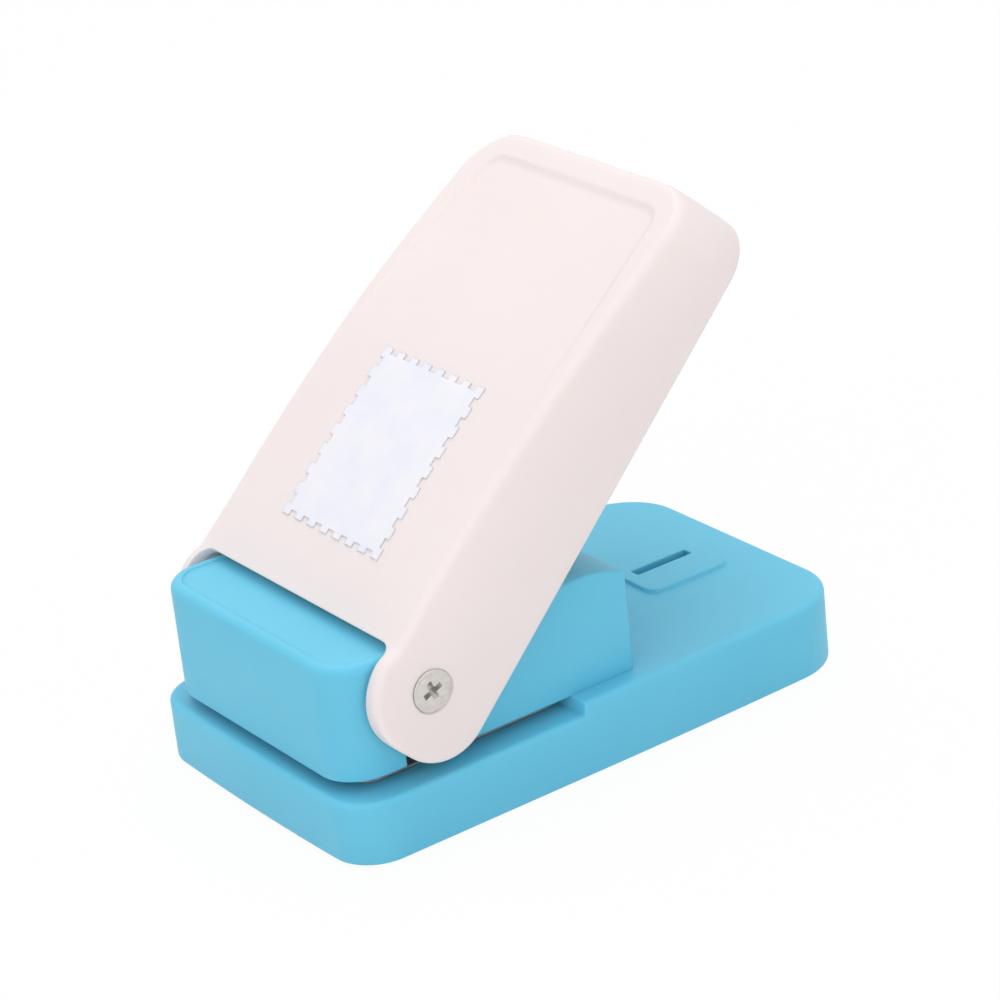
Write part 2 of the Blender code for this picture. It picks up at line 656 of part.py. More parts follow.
def make_die_screws(look, parent):
    """Four flat head screws, flush with the die plate's face."""
    profile = countersunk(SCREW_HEAD, SCREW_HEAD_HEIGHT, SCREW_RADIUS, DIE_THICKNESS + SHORT_REACH)
    spread(shape(turned(profile)), "die_screw", DIE_SCREWS, look, parent, DIE_TOP)


def housing_top(y):
    """Height of the housing's top, which falls away in a curve over its last stretch."""
    run = (y - FRONT - HOUSING_REAR + HOUSING_FALL_RUN) / HOUSING_FALL_RUN
    return HOUSING_TOP - HOUSING_FALL * max(run, 0.0) ** 2


def housing_plan(inset):
    """Right half of the housing's plan, moved inward by the inset."""
    front = FRONT + HOUSING_FRONT
    rear = FRONT + HOUSING_REAR
    fall = rear - HOUSING_FALL_RUN
    stations = [front + (fall - front) * share for share in HOUSING_SIDE_SHARES]
    stations += [fall + HOUSING_FALL_RUN * share for share in HOUSING_FALL_SHARES]
    return half_plan(front + inset, rear - inset, HOUSING_HALF_WIDTH - inset, HOUSING_CORNER - inset,
                     HOUSING_REAR_CORNER - inset, stations)


def make_upper_housing(look, parent):
    """Shell over the punch, open below, slotted for the pivot collars and open on top for the cams."""
    rings = [ring(housing_plan(0.0), lambda y: HOUSING_BOTTOM)]
    for inset, depth in edge_profile(HOUSING_EDGE_ROUND):
        rings.append(ring(housing_plan(inset), lambda y, depth=depth: housing_top(y) - depth))
    housing = shape(loft(rings))
    cut(housing, shape(loft([ring(housing_plan(HOUSING_WALL), lambda y: HOUSING_BOTTOM - OVERRUN),
                             ring(housing_plan(HOUSING_WALL), lambda y: housing_top(y) - HOUSING_WALL)])))
    boss_low = GUIDE_TOP + SEAT
    boss_high = housing_top(HOUSING_SCREWS[0][1] + REAR_BOSS) - BOSS_ROOT_SHARE * HOUSING_WALL
    add(housing,
        shape(rod(REAR_BOSS, boss_low, boss_high), HOUSING_SCREWS),
        shape(rod(FRONT_BOSS, boss_low, CEILING + BITE), GUIDE_SCREWS))
    slot = arc(PIVOT_Y, PIVOT_HEIGHT, COLLAR_RADIUS + SEAT, 0, 180, 2 * CORNER_STEPS)
    slot += [(PIVOT_Y - COLLAR_RADIUS - SEAT, HOUSING_BOTTOM - OVERRUN),
             (PIVOT_Y + COLLAR_RADIUS + SEAT, HOUSING_BOTTOM - OVERRUN)]
    panel_front = FRONT + HOUSING_FRONT + HOUSING_PANEL_INSET
    panel_half = HOUSING_HALF_WIDTH - HOUSING_PANEL_INSET
    window_half = CAM_SIDE + CAM_WIDTH / 2 + WINDOW_PLAY
    cut(housing,
        shape(prism(slot, -HOUSING_HALF_WIDTH - OVERRUN, HOUSING_HALF_WIDTH + OVERRUN, "X")),
        shape(rod(LONG_SCREW_RADIUS + SEAT, 0.0, GUIDE_TOP + LONG_SCREW_REACH + SEAT), HOUSING_SCREWS),
        shape(rod(SCREW_RADIUS + SEAT, 0.0, GUIDE_TOP + SHORT_REACH + SEAT), GUIDE_SCREWS),
        shape(prism(rectangle(-panel_half, panel_half, panel_front,
                              FRONT + HOUSING_REAR - HOUSING_FALL_RUN,
                              HOUSING_CORNER - HOUSING_PANEL_INSET * 2),
                    HOUSING_TOP - HOUSING_PANEL_DEPTH, HOUSING_TOP + OVERRUN)),
        shape(prism(rectangle(-window_half, window_half, window_front(), PIVOT_Y + CAM_REAR + WINDOW_PLAY),
                    PIVOT_HEIGHT, HOUSING_TOP + OVERRUN)))
    return finish(housing, "upper_housing", look, parent)


def window_front():
    """Front of the window in the housing's top, ahead of where the cams' front passes it at rest."""
    rest = math.radians(REST_DEGREES)
    (upper_y, upper_z), (lower_y, lower_z) = [
        (y * math.cos(rest) - z * math.sin(rest), y * math.sin(rest) + z * math.cos(rest))
        for y, z in cam_outline()[:2]]
    share = (HOUSING_TOP - PIVOT_HEIGHT - lower_z) / (upper_z - lower_z)
    return PIVOT_Y + lower_y + share * (upper_y - lower_y) - WINDOW_PLAY


def make_housing_screws(look, parent):
    """Two long screws up through the base and the guide frame into the housing's rear bosses."""
    low = COVER_THICKNESS + SEAT
    head = low + LONG_SCREW_HEAD_HEIGHT
    profile = [(LONG_SCREW_HEAD, low), (LONG_SCREW_HEAD, head), (LONG_SCREW_RADIUS, head),
               (LONG_SCREW_RADIUS, GUIDE_TOP + LONG_SCREW_REACH)]
    spread(shape(turned(profile)), "housing_screw", HOUSING_SCREWS, look, parent)


def make_guide_frame(look, parent):
    """Steel channel: a floor with the stamp opening and two cheeks that carry the pivot shaft."""
    inset = HOUSING_WALL + SEAT
    plate = shape(loft([ring(housing_plan(inset), lambda y: HOUSING_BOTTOM),
                        ring(housing_plan(inset), lambda y: GUIDE_TOP)]))
    cheek = arc(PIVOT_Y, PIVOT_HEIGHT, CHEEK_ROUND, 0, 180, 2 * CORNER_STEPS)
    cheek += [(PIVOT_Y - CHEEK_FOOT, HOUSING_BOTTOM + BITE), (PIVOT_Y + CHEEK_FOOT, HOUSING_BOTTOM + BITE)]
    for side in (-1, 1):
        faces = sorted((side * (GUIDE_HALF_WIDTH - GUIDE_THICKNESS), side * GUIDE_HALF_WIDTH))
        add(plate, shape(prism(cheek, faces[0], faces[1], "X")))
    opening = [(x, y + STAMP_Y) for x, y in stamp_outline(STAMP_HALF_WIDTH, STAMP_HALF_LENGTH, SEAT)]
    wells = [(side * WELL_SIDE, STAMP_Y) for side in (-1, 1)]
    bore = shape(rod(SHAFT_RADIUS + SEAT, -HOUSING_HALF_WIDTH, HOUSING_HALF_WIDTH, ROUND_SIDES, "X"),
                 ((0.0, PIVOT_Y),), PIVOT_HEIGHT)
    cut(plate, bore,
        shape(prism(opening, HOUSING_BOTTOM - OVERRUN, GUIDE_TOP + OVERRUN)),
        shape(rod(PIN_RADIUS + SEAT, HOUSING_BOTTOM - OVERRUN, GUIDE_TOP + OVERRUN), wells),
        shape(rod(LONG_SCREW_RADIUS + SEAT, 0.0, GUIDE_TOP + OVERRUN), HOUSING_SCREWS),
        shape(turned([(SCREW_HEAD + SEAT, HOUSING_BOTTOM - OVERRUN), (SCREW_HEAD + SEAT, HOUSING_BOTTOM),
                      (SCREW_RADIUS + SEAT, HOUSING_BOTTOM + SCREW_HEAD_HEIGHT),
                      (SCREW_RADIUS + SEAT, GUIDE_TOP + OVERRUN)]), GUIDE_SCREWS))
    return finish(plate, "guide_frame", look, parent)


def make_guide_screws(look, parent):
    """Two flat head screws that hold the guide frame's front in the housing, heads in the mouth's roof."""
    profile = [(SCREW_HEAD, HOUSING_BOTTOM), (SCREW_RADIUS, HOUSING_BOTTOM + SCREW_HEAD_HEIGHT),
               (SCREW_RADIUS, GUIDE_TOP + SHORT_REACH)]
    spread(shape(turned(profile)), "guide_screw", GUIDE_SCREWS, look, parent)


def make_guide_pin(side, look, parent):
    """Pin through the guide frame's floor, with a flange that the spring stands on."""
    low = GUIDE_TOP + SEAT
    profile = [(PIN_RADIUS, HOUSING_BOTTOM), (PIN_RADIUS, low), (PIN_FLANGE, low),
               (PIN_FLANGE, low + PIN_FLANGE_HEIGHT), (PIN_RADIUS, low + PIN_FLANGE_HEIGHT),
               (PIN_RADIUS, low + PIN_FLANGE_HEIGHT + PIN_LENGTH)]
    pin = finish(shape(turned(profile)), "guide_pin_right" if side > 0 else "guide_pin_left", look, parent)
    pin.location = (side * WELL_SIDE, STAMP_Y, 0.0)
    return pin


def make_return_spring(side, look, parent):
    """Compression spring as one unbroken helix of wire, with its ends a little flatter."""
    count = SPRING_TURNS * SPRING_POINTS
    curve = bpy.data.curves.new("spring", "CURVE")
    curve.dimensions = "3D"
    curve.bevel_depth = SPRING_WIRE
    curve.bevel_resolution = 1
    curve.use_fill_caps = True
    wire = curve.splines.new("POLY")
    wire.points.add(count)
    places = []
    for index in range(count + 1):
        turn = 2 * math.pi * index / SPRING_POINTS
        height = SPRING_LOW + (SPRING_HIGH - SPRING_LOW) * index / count
        place = (SPRING_RADIUS * math.cos(turn), SPRING_RADIUS * math.sin(turn), height)
        wire.points[index].co = place + (1.0,)
        places.append(place)
    spring = bpy.data.objects.new("spring", curve)
    bpy.context.collection.objects.link(spring)
    spring = finish_curve(spring, "return_spring_right" if side > 0 else "return_spring_left", look, parent)
    spring.location = (side * WELL_SIDE, STAMP_Y, 0.0)
    points = np.array(places)
    apart = np.linalg.norm(points[:, None] - points[None], axis=2)
    far = abs(np.subtract.outer(np.arange(count + 1), np.arange(count + 1))) > SPRING_POINTS / 2
    print(spring.name, "least gap to itself in mm:", round((apart[far].min() - 2 * SPRING_WIRE) / MM, 2))
    return spring


def finish_curve(item, name, look, parent):
    """Name, material and parent of a piece of wire."""
    item.name = name
    item.data.name = name
    item.data.materials.append(look)
    item.parent = parent
    return item


# Punch

def make_punch_blade(look, parent):
    """Steel punch with the stamp's outline, hollowed below so that it shears from its sides inward."""
    outline = stamp_outline(STAMP_HALF_WIDTH, STAMP_HALF_LENGTH)
    blade = shape(prism(outline, 0.0, BLADE_HEIGHT))
    reach = STAMP_HALF_LENGTH + OVERRUN
    hollow = [(-reach, -OVERRUN), (reach, -OVERRUN), (reach, -BLADE_SHEAR * OVERRUN / reach),
              (0.0, BLADE_SHEAR), (-reach, -BLADE_SHEAR * OVERRUN / reach)]
    cut(blade, shape(prism(hollow, -STAMP_HALF_WIDTH - OVERRUN, STAMP_HALF_WIDTH + OVERRUN, "X")),
        shape(rod(SCREW_RADIUS + SEAT, BLADE_HEIGHT - SHORT_REACH - SEAT, BLADE_HEIGHT + OVERRUN),
              [(x, y - STAMP_Y) for x, y in PUNCH_SCREWS]))
    blade = finish(blade, "punch_blade", look, parent)
    blade.location = (0.0, 0.0, BLADE_BOTTOM)
    return blade


def make_punch_holder(look, parent):
    """Plate on the punch with two spring wells and the post that carries the press pad."""
    wells = [(side * WELL_SIDE, 0.0) for side in (-1, 1)]
    screws = [(x, y - STAMP_Y) for x, y in PUNCH_SCREWS]
    pad_y = PRESS_PAD_Y - STAMP_Y
    half_length = STAMP_HALF_LENGTH + HOLDER_MARGIN
    half_width = STAMP_HALF_WIDTH + HOLDER_MARGIN
    holder = shape(prism(rectangle(-half_width, half_width, -half_length, half_length, HOLDER_CORNER),
                         HOLDER_BOTTOM, HOLDER_TOP))
    post_half = PRESS_PAD_HALF_WIDTH + SEAT
    post_reach = PRESS_PAD_HALF_LENGTH + SEAT
    add(holder,
        shape(prism(rectangle(-WELL_SIDE, WELL_SIDE, -WELL_RADIUS, WELL_RADIUS), HOLDER_BOTTOM, HOLDER_TOP)),
        shape(rod(WELL_RADIUS, HOLDER_BOTTOM, WELL_TOP, ROUND_SIDES), wells),
        shape(prism(rectangle(-post_half, post_half, pad_y - post_reach, pad_y + post_reach),
                    HOLDER_TOP - BITE, PRESS_PAD_BOTTOM - SEAT)))
    cut(holder,
        shape(rod(WELL_BORE, HOLDER_BOTTOM - OVERRUN, WELL_TOP - WELL_ROOF, ROUND_SIDES), wells),
        shape(rod(PRESS_PEG_RADIUS + SEAT, PRESS_PAD_BOTTOM - PRESS_PEG_LENGTH - SEAT, PRESS_PAD_TOP),
              ((0.0, pad_y),)),
        shape(turned([(SCREW_RADIUS + SEAT, HOLDER_BOTTOM - OVERRUN),
                      (SCREW_RADIUS + SEAT, HOLDER_TOP - SCREW_HEAD_HEIGHT - SEAT),
                      (SCREW_HEAD + SEAT, HOLDER_TOP - SCREW_HEAD_HEIGHT - SEAT),
                      (SCREW_HEAD + SEAT, HOLDER_TOP + OVERRUN)]), screws))
    return finish(holder, "punch_holder", look, parent)


def make_punch_screws(look, parent):
    """Four screws, sunk in the holder, that hold the punch."""
    length = HOLDER_THICKNESS + SHORT_REACH - SCREW_HEAD_HEIGHT
    profile = capped(SCREW_HEAD, SCREW_HEAD_HEIGHT, SCREW_RADIUS, length)
    places = [(x, y - STAMP_Y) for x, y in PUNCH_SCREWS]
    spread(shape(turned(profile)), "punch_screw", places, look, parent, HOLDER_TOP - SCREW_HEAD_HEIGHT)


def make_press_pad(look, parent):
    """Wear piece that the cams push on, with a peg into the holder's post."""
    pad = shape(prism(rectangle(-PRESS_PAD_HALF_WIDTH, PRESS_PAD_HALF_WIDTH, -PRESS_PAD_HALF_LENGTH,
                                PRESS_PAD_HALF_LENGTH), PRESS_PAD_BOTTOM, PRESS_PAD_TOP))
    add(pad, shape(rod(PRESS_PEG_RADIUS, PRESS_PAD_BOTTOM - PRESS_PEG_LENGTH, PRESS_PAD_TOP - BITE)))
    pad = finish(pad, "press_pad", look, parent)
    pad.location = (0.0, PRESS_PAD_Y - STAMP_Y, 0.0)
    return pad


# Pivot

def make_pivot_shaft(look, parent):
    """Shaft through the guide frame's cheeks, drilled at both ends for the pivot screws."""
    end = EAR_INNER - SEAT
    shaft = shape(rod(SHAFT_RADIUS, -end, end, ROUND_SIDES, "X"))
    depth = HANDLE_HALF_WIDTH - PIVOT_HEAD_SUNK - PIVOT_HEAD_DEPTH - PIVOT_SHANK_LENGTH - SEAT
    for side in (-1, 1):
        faces = sorted((side * depth, side * (end + OVERRUN)))
        cut(shaft, shape(rod(PIVOT_SHANK_RADIUS + SEAT, faces[0], faces[1], SMALL_SIDES, "X")))
    return finish(shaft, "pivot_shaft", look, parent)


def make_collar(side, look, parent):
    """Nylon ring round the shaft, in the housing's slot, between the cheek and the ear."""
    near = side * (GUIDE_HALF_WIDTH + SEAT)
    far = side * (EAR_INNER - SEAT)
    bore = SHAFT_RADIUS + SEAT
    profile = [(COLLAR_RADIUS, near), (COLLAR_RADIUS, far), (bore, far), (bore, near)]
    collar = shape(turned(profile, ROUND_SIDES, "X", hollow=True), ((0.0, PIVOT_Y),), PIVOT_HEIGHT)
    return finish(collar, "pivot_collar_right" if side > 0 else "pivot_collar_left", look, parent)


def make_pivot_screw(side, look, parent):
    """Flat head screw in the ear, with a cross recess."""
    face = side * (HANDLE_HALF_WIDTH - PIVOT_HEAD_SUNK)
    root = face - side * PIVOT_HEAD_DEPTH
    profile = [(PIVOT_HEAD_RADIUS, face), (PIVOT_SHANK_RADIUS, root),
               (PIVOT_SHANK_RADIUS, root - side * PIVOT_SHANK_LENGTH)]
    screw = shape(turned(profile, ROUND_SIDES, "X"))
    span = RECESS_SPAN / 2
    width = RECESS_WIDTH / 2
    cross = [(span, -width), (span, width), (width, width), (width, span), (-width, span), (-width, width),
             (-span, width), (-span, -width), (-width, -width), (-width, -span), (width, -span), (width, -width)]
    floor = sorted((face - side * RECESS_DEPTH, face + side * OVERRUN))
    cut(screw, shape(prism(cross, floor[0], floor[1], "X")))
    return finish(screw, "pivot_screw_right" if side > 0 else "pivot_screw_left", look, parent)


# Handle

def crown(y):
    """Height of the handle's top edge along its length, a gentle arc."""
    return HANDLE_ABOVE - CROWN_FALL * ((y - CROWN_BACK) / (HANDLE_REACH - CROWN_BACK)) ** 2


def sink(y):
    """Depth of the sunk top panel, none near the pivot and full at the free end."""
    return (PANEL_DEPTH + PANEL_LIFT) * smooth_step((y - PANEL_START) / PANEL_RUN) - PANEL_LIFT


def top_edge(y):
    """Height of the handle's top edge, which rises a little over the ears."""
    return crown(y) + EAR_RISE * smooth_step((MOUTH_BACK + BITE - y) / EAR_RISE_RUN)


def handle_stations():
    """Places along the handle's sides, closer together at the ears."""
    last = HANDLE_REACH - HANDLE_CORNER
    places = [EAR_BLEND * share for share in EAR_SHARES]
    return places + [last * share for share in HANDLE_SHARES]


def handle_ring(lean, inset, height):
    """Ring of the handle's plan, square at the front and round at the free end. The sides lean in, less
    so at the ears."""
    half_width = HANDLE_HALF_WIDTH - lean - inset
    half = half_plan(-EAR_FRONT - OVERRUN, HANDLE_REACH - inset, half_width, OVERRUN / 2,
                     HANDLE_CORNER - inset, handle_stations())
    places = []
    for x, y in half:
        upright = (1 - EAR_LEAN_SHARE) * smooth_step((EAR_BLEND - y) / (EAR_BLEND + EAR_RISE_RUN / 2))
        places.append((x * (1 + lean * upright / half_width), y))
    return ring(places, height)


def make_handle_body():
    """Outside of the handle: upright below, leaning in toward the top edge, with a small round."""
    rings = []
    for inset, depth in reversed(edge_profile(HANDLE_EDGE_ROUND)):
        lean = HANDLE_LEAN * (1 - depth / LEAN_HEIGHT) ** 2
        rings.append(handle_ring(lean, inset, lambda y, depth=depth: top_edge(y) - depth))
    for share in (0.25, 0.45, 0.65, 0.85):
        lean = HANDLE_LEAN * (1 - share) ** 2
        rings.append(handle_ring(lean, 0.0, lambda y, share=share: top_edge(y) - LEAN_HEIGHT * share))
    rings.append(handle_ring(0.0, 0.0, lambda y: -HANDLE_BELOW))
    return shape(loft(rings))


def make_handle_cavity():
    """Inside of the handle, open below and at the front."""
    rings = []
    end = HANDLE_REACH - HANDLE_END_WALL
    corner = HANDLE_CORNER - HANDLE_END_WALL
    for inset, depth in reversed(edge_profile(CAVITY_ROUND)):
        rings.append(handle_cavity_ring(
            inset, end, corner,
            lambda y, depth=depth: crown(y) - max(sink(y), 0.0) - HANDLE_TOP_WALL - depth))
    rings.append(handle_cavity_ring(0.0, end, corner, lambda y: -HANDLE_BELOW - OVERRUN))
    return shape(loft(rings))


def handle_cavity_ring(inset, end, corner, height):
    """Ring of the handle's inside, which starts ahead of the ears."""
    front = -EAR_FRONT - 2 * OVERRUN
    half = half_plan(front, end - inset, EAR_INNER - inset, OVERRUN / 2, corner - inset, handle_stations())
    return ring(half, height)


def ear_cutter():
    """What lies ahead of the ears' round front, seen from the side."""
    far = -EAR_FRONT - 3 * OVERRUN
    low_y = EAR_LOWER_ROUND - EAR_FRONT
    high_y = EAR_UPPER_ROUND - EAR_FRONT
    outline = [(far, -HANDLE_BELOW - OVERRUN), (low_y, -HANDLE_BELOW - OVERRUN)]
    outline += arc(low_y, EAR_LOWER_ROUND - HANDLE_BELOW, EAR_LOWER_ROUND, 270, 180)
    outline += arc(high_y, top_edge(high_y) - EAR_UPPER_ROUND, EAR_UPPER_ROUND, 180, 90, 2 * CORNER_STEPS)
    outline += [(high_y, HANDLE_ABOVE + EAR_RISE + OVERRUN), (far, HANDLE_ABOVE + EAR_RISE + OVERRUN)]
    return shape(prism(outline, -HANDLE_HALF_WIDTH - OVERRUN, HANDLE_HALF_WIDTH + OVERRUN, "X"))


def panel_cutter():
    """Space above the sunk panel, narrower and deeper toward the free end."""
    end = HANDLE_REACH - PANEL_RIM
    last = end - PANEL_CORNER
    shares = (0.1, 0.25, 0.4, 0.55, 0.7, 0.85)
    stations = [PANEL_START + (last - PANEL_START) * share for share in shares]
    half = half_plan(PANEL_START, end, PANEL_END_HALF, OVERRUN / 2, PANEL_CORNER, stations)
    widening = [(x * (1 + PANEL_WIDENING / PANEL_END_HALF * max((last - y) / (last - PANEL_START), 0.0)), y)
                for x, y in half]
    rings = [ring(widening, lambda y: crown(y) - sink(y)),
             ring(widening, lambda y: HANDLE_ABOVE + OVERRUN)]
    return shape(loft(rings))


def wall_middle(y):
    """Height in the middle of the handle's top wall, where ribs take root."""
    return crown(y) - max(sink(y), 0.0) - HANDLE_TOP_WALL / 2


def cam_outline():
    """Side view of a cam. Its flank is an involute, so it meets the level pad always at the press arm
    behind the pivot and lowers it by the press arm for each radian of the handle."""
    flank = []
    for step in range(CAM_STEPS + 1):
        tilt = math.radians(REST_DEGREES + (PRESSED_DEGREES - REST_DEGREES) * step / CAM_STEPS)
        pressed = math.radians(REST_DEGREES) - tilt
        drop = PAD_BELOW_PIVOT - SEAT + PRESS_ARM * pressed
        flank.append((PRESS_ARM * math.cos(tilt) - drop * math.sin(tilt),
                      -PRESS_ARM * math.sin(tilt) - drop * math.cos(tilt)))
    end_y, end_z = flank[-1]
    front = CAM_FRONT + CAM_FRONT_LEAN
    return ([(front, wall_middle(front)), (CAM_FRONT, PAD_BELOW_PIVOT), (CAM_FRONT, -SHAFT_RADIUS)] + flank
            + [(end_y + CAM_NOSE, end_z + CAM_NOSE / 2), ((end_y + CAM_REAR) / 2 + CAM_NOSE / 2, end_z / 2),
               (CAM_REAR, PAD_BELOW_PIVOT), (CAM_REAR, wall_middle(CAM_REAR))])


def long_rib_outline():
    """Side view of a lengthwise rib under the handle's top wall."""
    end = HANDLE_REACH - HANDLE_END_WALL / 2
    places = [RIB_START + (end - RIB_START) * step / CAM_STEPS for step in range(CAM_STEPS + 1)]
    upper = [(y, wall_middle(y)) for y in places]
    return upper + [(y, z - HANDLE_TOP_WALL / 2 - RIB_DEPTH) for y, z in reversed(upper)]


def make_handle_shell(look, parent):
    """Moulded handle: shell with two ears, sunk panel, cams, ribs and the locating tongue."""
    handle = make_handle_body()
    cut(handle, make_handle_cavity(), ear_cutter())
    mouth = rectangle(-EAR_INNER, EAR_INNER, -EAR_FRONT - EAR_UPPER_ROUND, MOUTH_BACK, CAVITY_ROUND)
    cut(handle, shape(prism(mouth, 0.0, HANDLE_ABOVE + EAR_RISE + OVERRUN)), panel_cutter())
    for side in (-1, 1):
        cam_x = side * CAM_SIDE
        rib_x = side * RIB_SIDE
        add(handle, shape(prism(cam_outline(), cam_x - CAM_WIDTH / 2, cam_x + CAM_WIDTH / 2, "X")),
            shape(prism(long_rib_outline(), rib_x - RIB_WIDTH / 2, rib_x + RIB_WIDTH / 2, "X")))
    rib_half = EAR_INNER + SEAT / 2
    for index in range(RIB_COUNT):
        y = RIB_START + RIB_SPACING * index + BITE
        top = wall_middle(y)
        add(handle, shape(prism(rectangle(-rib_half, rib_half, y - RIB_WIDTH / 2, y + RIB_WIDTH / 2),
                                top - HANDLE_TOP_WALL / 2 - RIB_DEPTH, top)))
    tongue_end = TONGUE_START + TONGUE_LENGTH
    tongue_rib = [(TONGUE_START, -HANDLE_BELOW + OVERRUN), (tongue_end, -HANDLE_BELOW + OVERRUN),
                  (tongue_end + BITE, wall_middle(tongue_end)), (TONGUE_START - BITE, wall_middle(TONGUE_START))]
    tongue = rectangle(PAD_OFFSET - TONGUE_WIDTH / 2, PAD_OFFSET + TONGUE_WIDTH / 2,
                       TONGUE_START + BITE / 2, tongue_end - BITE / 2)
    add(handle,
        shape(prism(tongue_rib, PAD_OFFSET - TONGUE_RIB_WIDTH / 2, PAD_OFFSET + TONGUE_RIB_WIDTH / 2, "X")),
        shape(prism(tongue, -HANDLE_BELOW - TONGUE_DROP, -HANDLE_BELOW + OVERRUN + BITE)))
    for side in (-1, 1):
        face = side * (HANDLE_HALF_WIDTH - PIVOT_HEAD_SUNK)
        root = face - side * (PIVOT_HEAD_DEPTH + SEAT / 2)
        bore = [(PIVOT_SHANK_RADIUS + SEAT, side * (EAR_INNER - OVERRUN)), (PIVOT_SHANK_RADIUS + SEAT, root),
                (PIVOT_HEAD_RADIUS + SEAT, face), (PIVOT_HEAD_RADIUS + SEAT, face + side * OVERRUN)]
        cut(handle, shape(turned(bore, ROUND_SIDES, "X")))
    return finish(handle, "handle_shell", look, parent)


def make_label(look, parent):
    """Thin film with the stamp's notched outline, bent along the handle's crown."""
    middle = LABEL_START + LABEL_HALF_LENGTH
    outline = [(x, y + middle) for x, y in stamp_outline(STAMP_HALF_WIDTH, LABEL_HALF_LENGTH)]
    label = shape(prism(outline, 0.0, HANDLE_ABOVE + OVERRUN * 2))
    front = LABEL_START - OVERRUN
    rear = LABEL_START + 2 * LABEL_HALF_LENGTH + OVERRUN
    stations = [front + (rear - front) * share for share in LABEL_SHARES]
    half = half_plan(front, rear, STAMP_HALF_WIDTH + OVERRUN, OVERRUN / 2, OVERRUN / 2, stations)
    band = shape(loft([ring(half, lambda y: crown(y) + SEAT),
                       ring(half, lambda y: crown(y) + SEAT + LABEL_THICKNESS)]))
    apply_boolean(label, band, "INTERSECT")
    return finish(label, "stamp_label", look, parent)


def main():
    """Build every piece."""
    clear_scene()
    blue = material("sky blue plastic", linear(70, 178, 206), 0.42)
    pink = material("pale pink plastic", linear(240, 224, 222), 0.45)
    film = material("silver white film", linear(222, 230, 242), 0.3)
    steel = material("ground steel", linear(176, 178, 182), 0.3, 1.0)
    brushed = material("brushed steel", linear(150, 148, 145), 0.38, 1.0)
    spring_steel = material("spring steel", linear(120, 120, 124), 0.35, 1.0)
    nylon = material("white nylon", linear(232, 230, 222), 0.5)
    rubber = material("dark rubber", linear(40, 42, 46), 0.85)

    body = empty("body", 0.0, FOOT_PROUD)
    handle = empty("handle_axis", PIVOT_Y, PIVOT_HEIGHT + FOOT_PROUD, REST_DEGREES)
    punch = empty("punch_axis", STAMP_Y, FOOT_PROUD)

    make_base_shell(blue, body)
    make_bottom_cover(blue, body)
    make_cover_screws(brushed, body)
    make_feet(rubber, body)
    make_die_plate(steel, body)
    make_die_screws(brushed, body)
    make_upper_housing(blue, body)
    make_housing_screws(brushed, body)
    make_guide_frame(steel, body)
    make_guide_screws(brushed, body)
    make_punch_blade(steel, punch)
    make_punch_holder(nylon, punch)
    make_punch_screws(brushed, punch)
    make_press_pad(brushed, punch)
    make_pivot_shaft(steel, handle)
    make_handle_shell(pink, handle)
    make_label(film, handle)
    for side in (-1, 1):
        make_guide_pin(side, steel, body)
        make_return_spring(side, spring_steel, body)
        make_collar(side, nylon, body)
        make_pivot_screw(side, brushed, handle)


main()
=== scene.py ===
# %% [markdown]
# A craft punch with a lever handle. Paper goes into the mouth between the blue base and the blue housing,
# the pale handle is pressed down, and a stamp with notched edges drops out under the base.
# The mechanism comes from the CAD frame. This lesson puts the moulded shells, the film, the screws and the
# springs over it as finer surfaces, and gives every piece a finish.

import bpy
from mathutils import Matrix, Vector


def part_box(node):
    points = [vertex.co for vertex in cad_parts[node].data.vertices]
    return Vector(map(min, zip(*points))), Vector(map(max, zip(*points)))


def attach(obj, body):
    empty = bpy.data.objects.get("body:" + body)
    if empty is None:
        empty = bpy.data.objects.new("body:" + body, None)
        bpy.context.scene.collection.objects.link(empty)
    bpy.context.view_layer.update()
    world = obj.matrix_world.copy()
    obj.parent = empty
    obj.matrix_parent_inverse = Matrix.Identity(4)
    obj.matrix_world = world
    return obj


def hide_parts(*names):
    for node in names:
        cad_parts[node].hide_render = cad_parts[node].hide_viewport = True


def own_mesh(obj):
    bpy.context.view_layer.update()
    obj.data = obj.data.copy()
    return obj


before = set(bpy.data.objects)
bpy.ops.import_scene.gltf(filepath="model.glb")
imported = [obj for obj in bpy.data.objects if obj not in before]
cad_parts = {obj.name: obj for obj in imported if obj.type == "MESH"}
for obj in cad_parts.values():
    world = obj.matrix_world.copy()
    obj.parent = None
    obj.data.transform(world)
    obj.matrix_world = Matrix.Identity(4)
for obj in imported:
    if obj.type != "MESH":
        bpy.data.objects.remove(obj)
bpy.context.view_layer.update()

import math

import bmesh
import bpy
import numpy as np
from mathutils import Matrix

MM = 0.001

# %% [markdown]
# The camera is a long lens, about half a metre away, above and to the right of the paper mouth, and held
# slightly crooked. Its place and turn were worked out from the straight edges of the base and the handle.

# %% Camera
CAMERA_PLACE = (0.4127, -0.2696, 0.2525)
CAMERA_AZIMUTH, CAMERA_ELEVATION, CAMERA_ROLL = np.radians([56.63, 23.89, 6.3])
CAMERA_LENS, CAMERA_SIGHT = 131.3, 20.0


def camera_turn(azimuth, elevation, roll):
    """Columns right, up and back: level axes for the azimuth and elevation, then turned by the roll."""
    right = np.array([np.cos(azimuth), np.sin(azimuth), 0.0])
    back = np.array([np.sin(azimuth) * np.cos(elevation), -np.cos(azimuth) * np.cos(elevation),
                     np.sin(elevation)])
    up = np.cross(back, right)
    return np.stack([np.cos(roll) * right - np.sin(roll) * up, np.sin(roll) * right + np.cos(roll) * up,
                     back], axis=1)


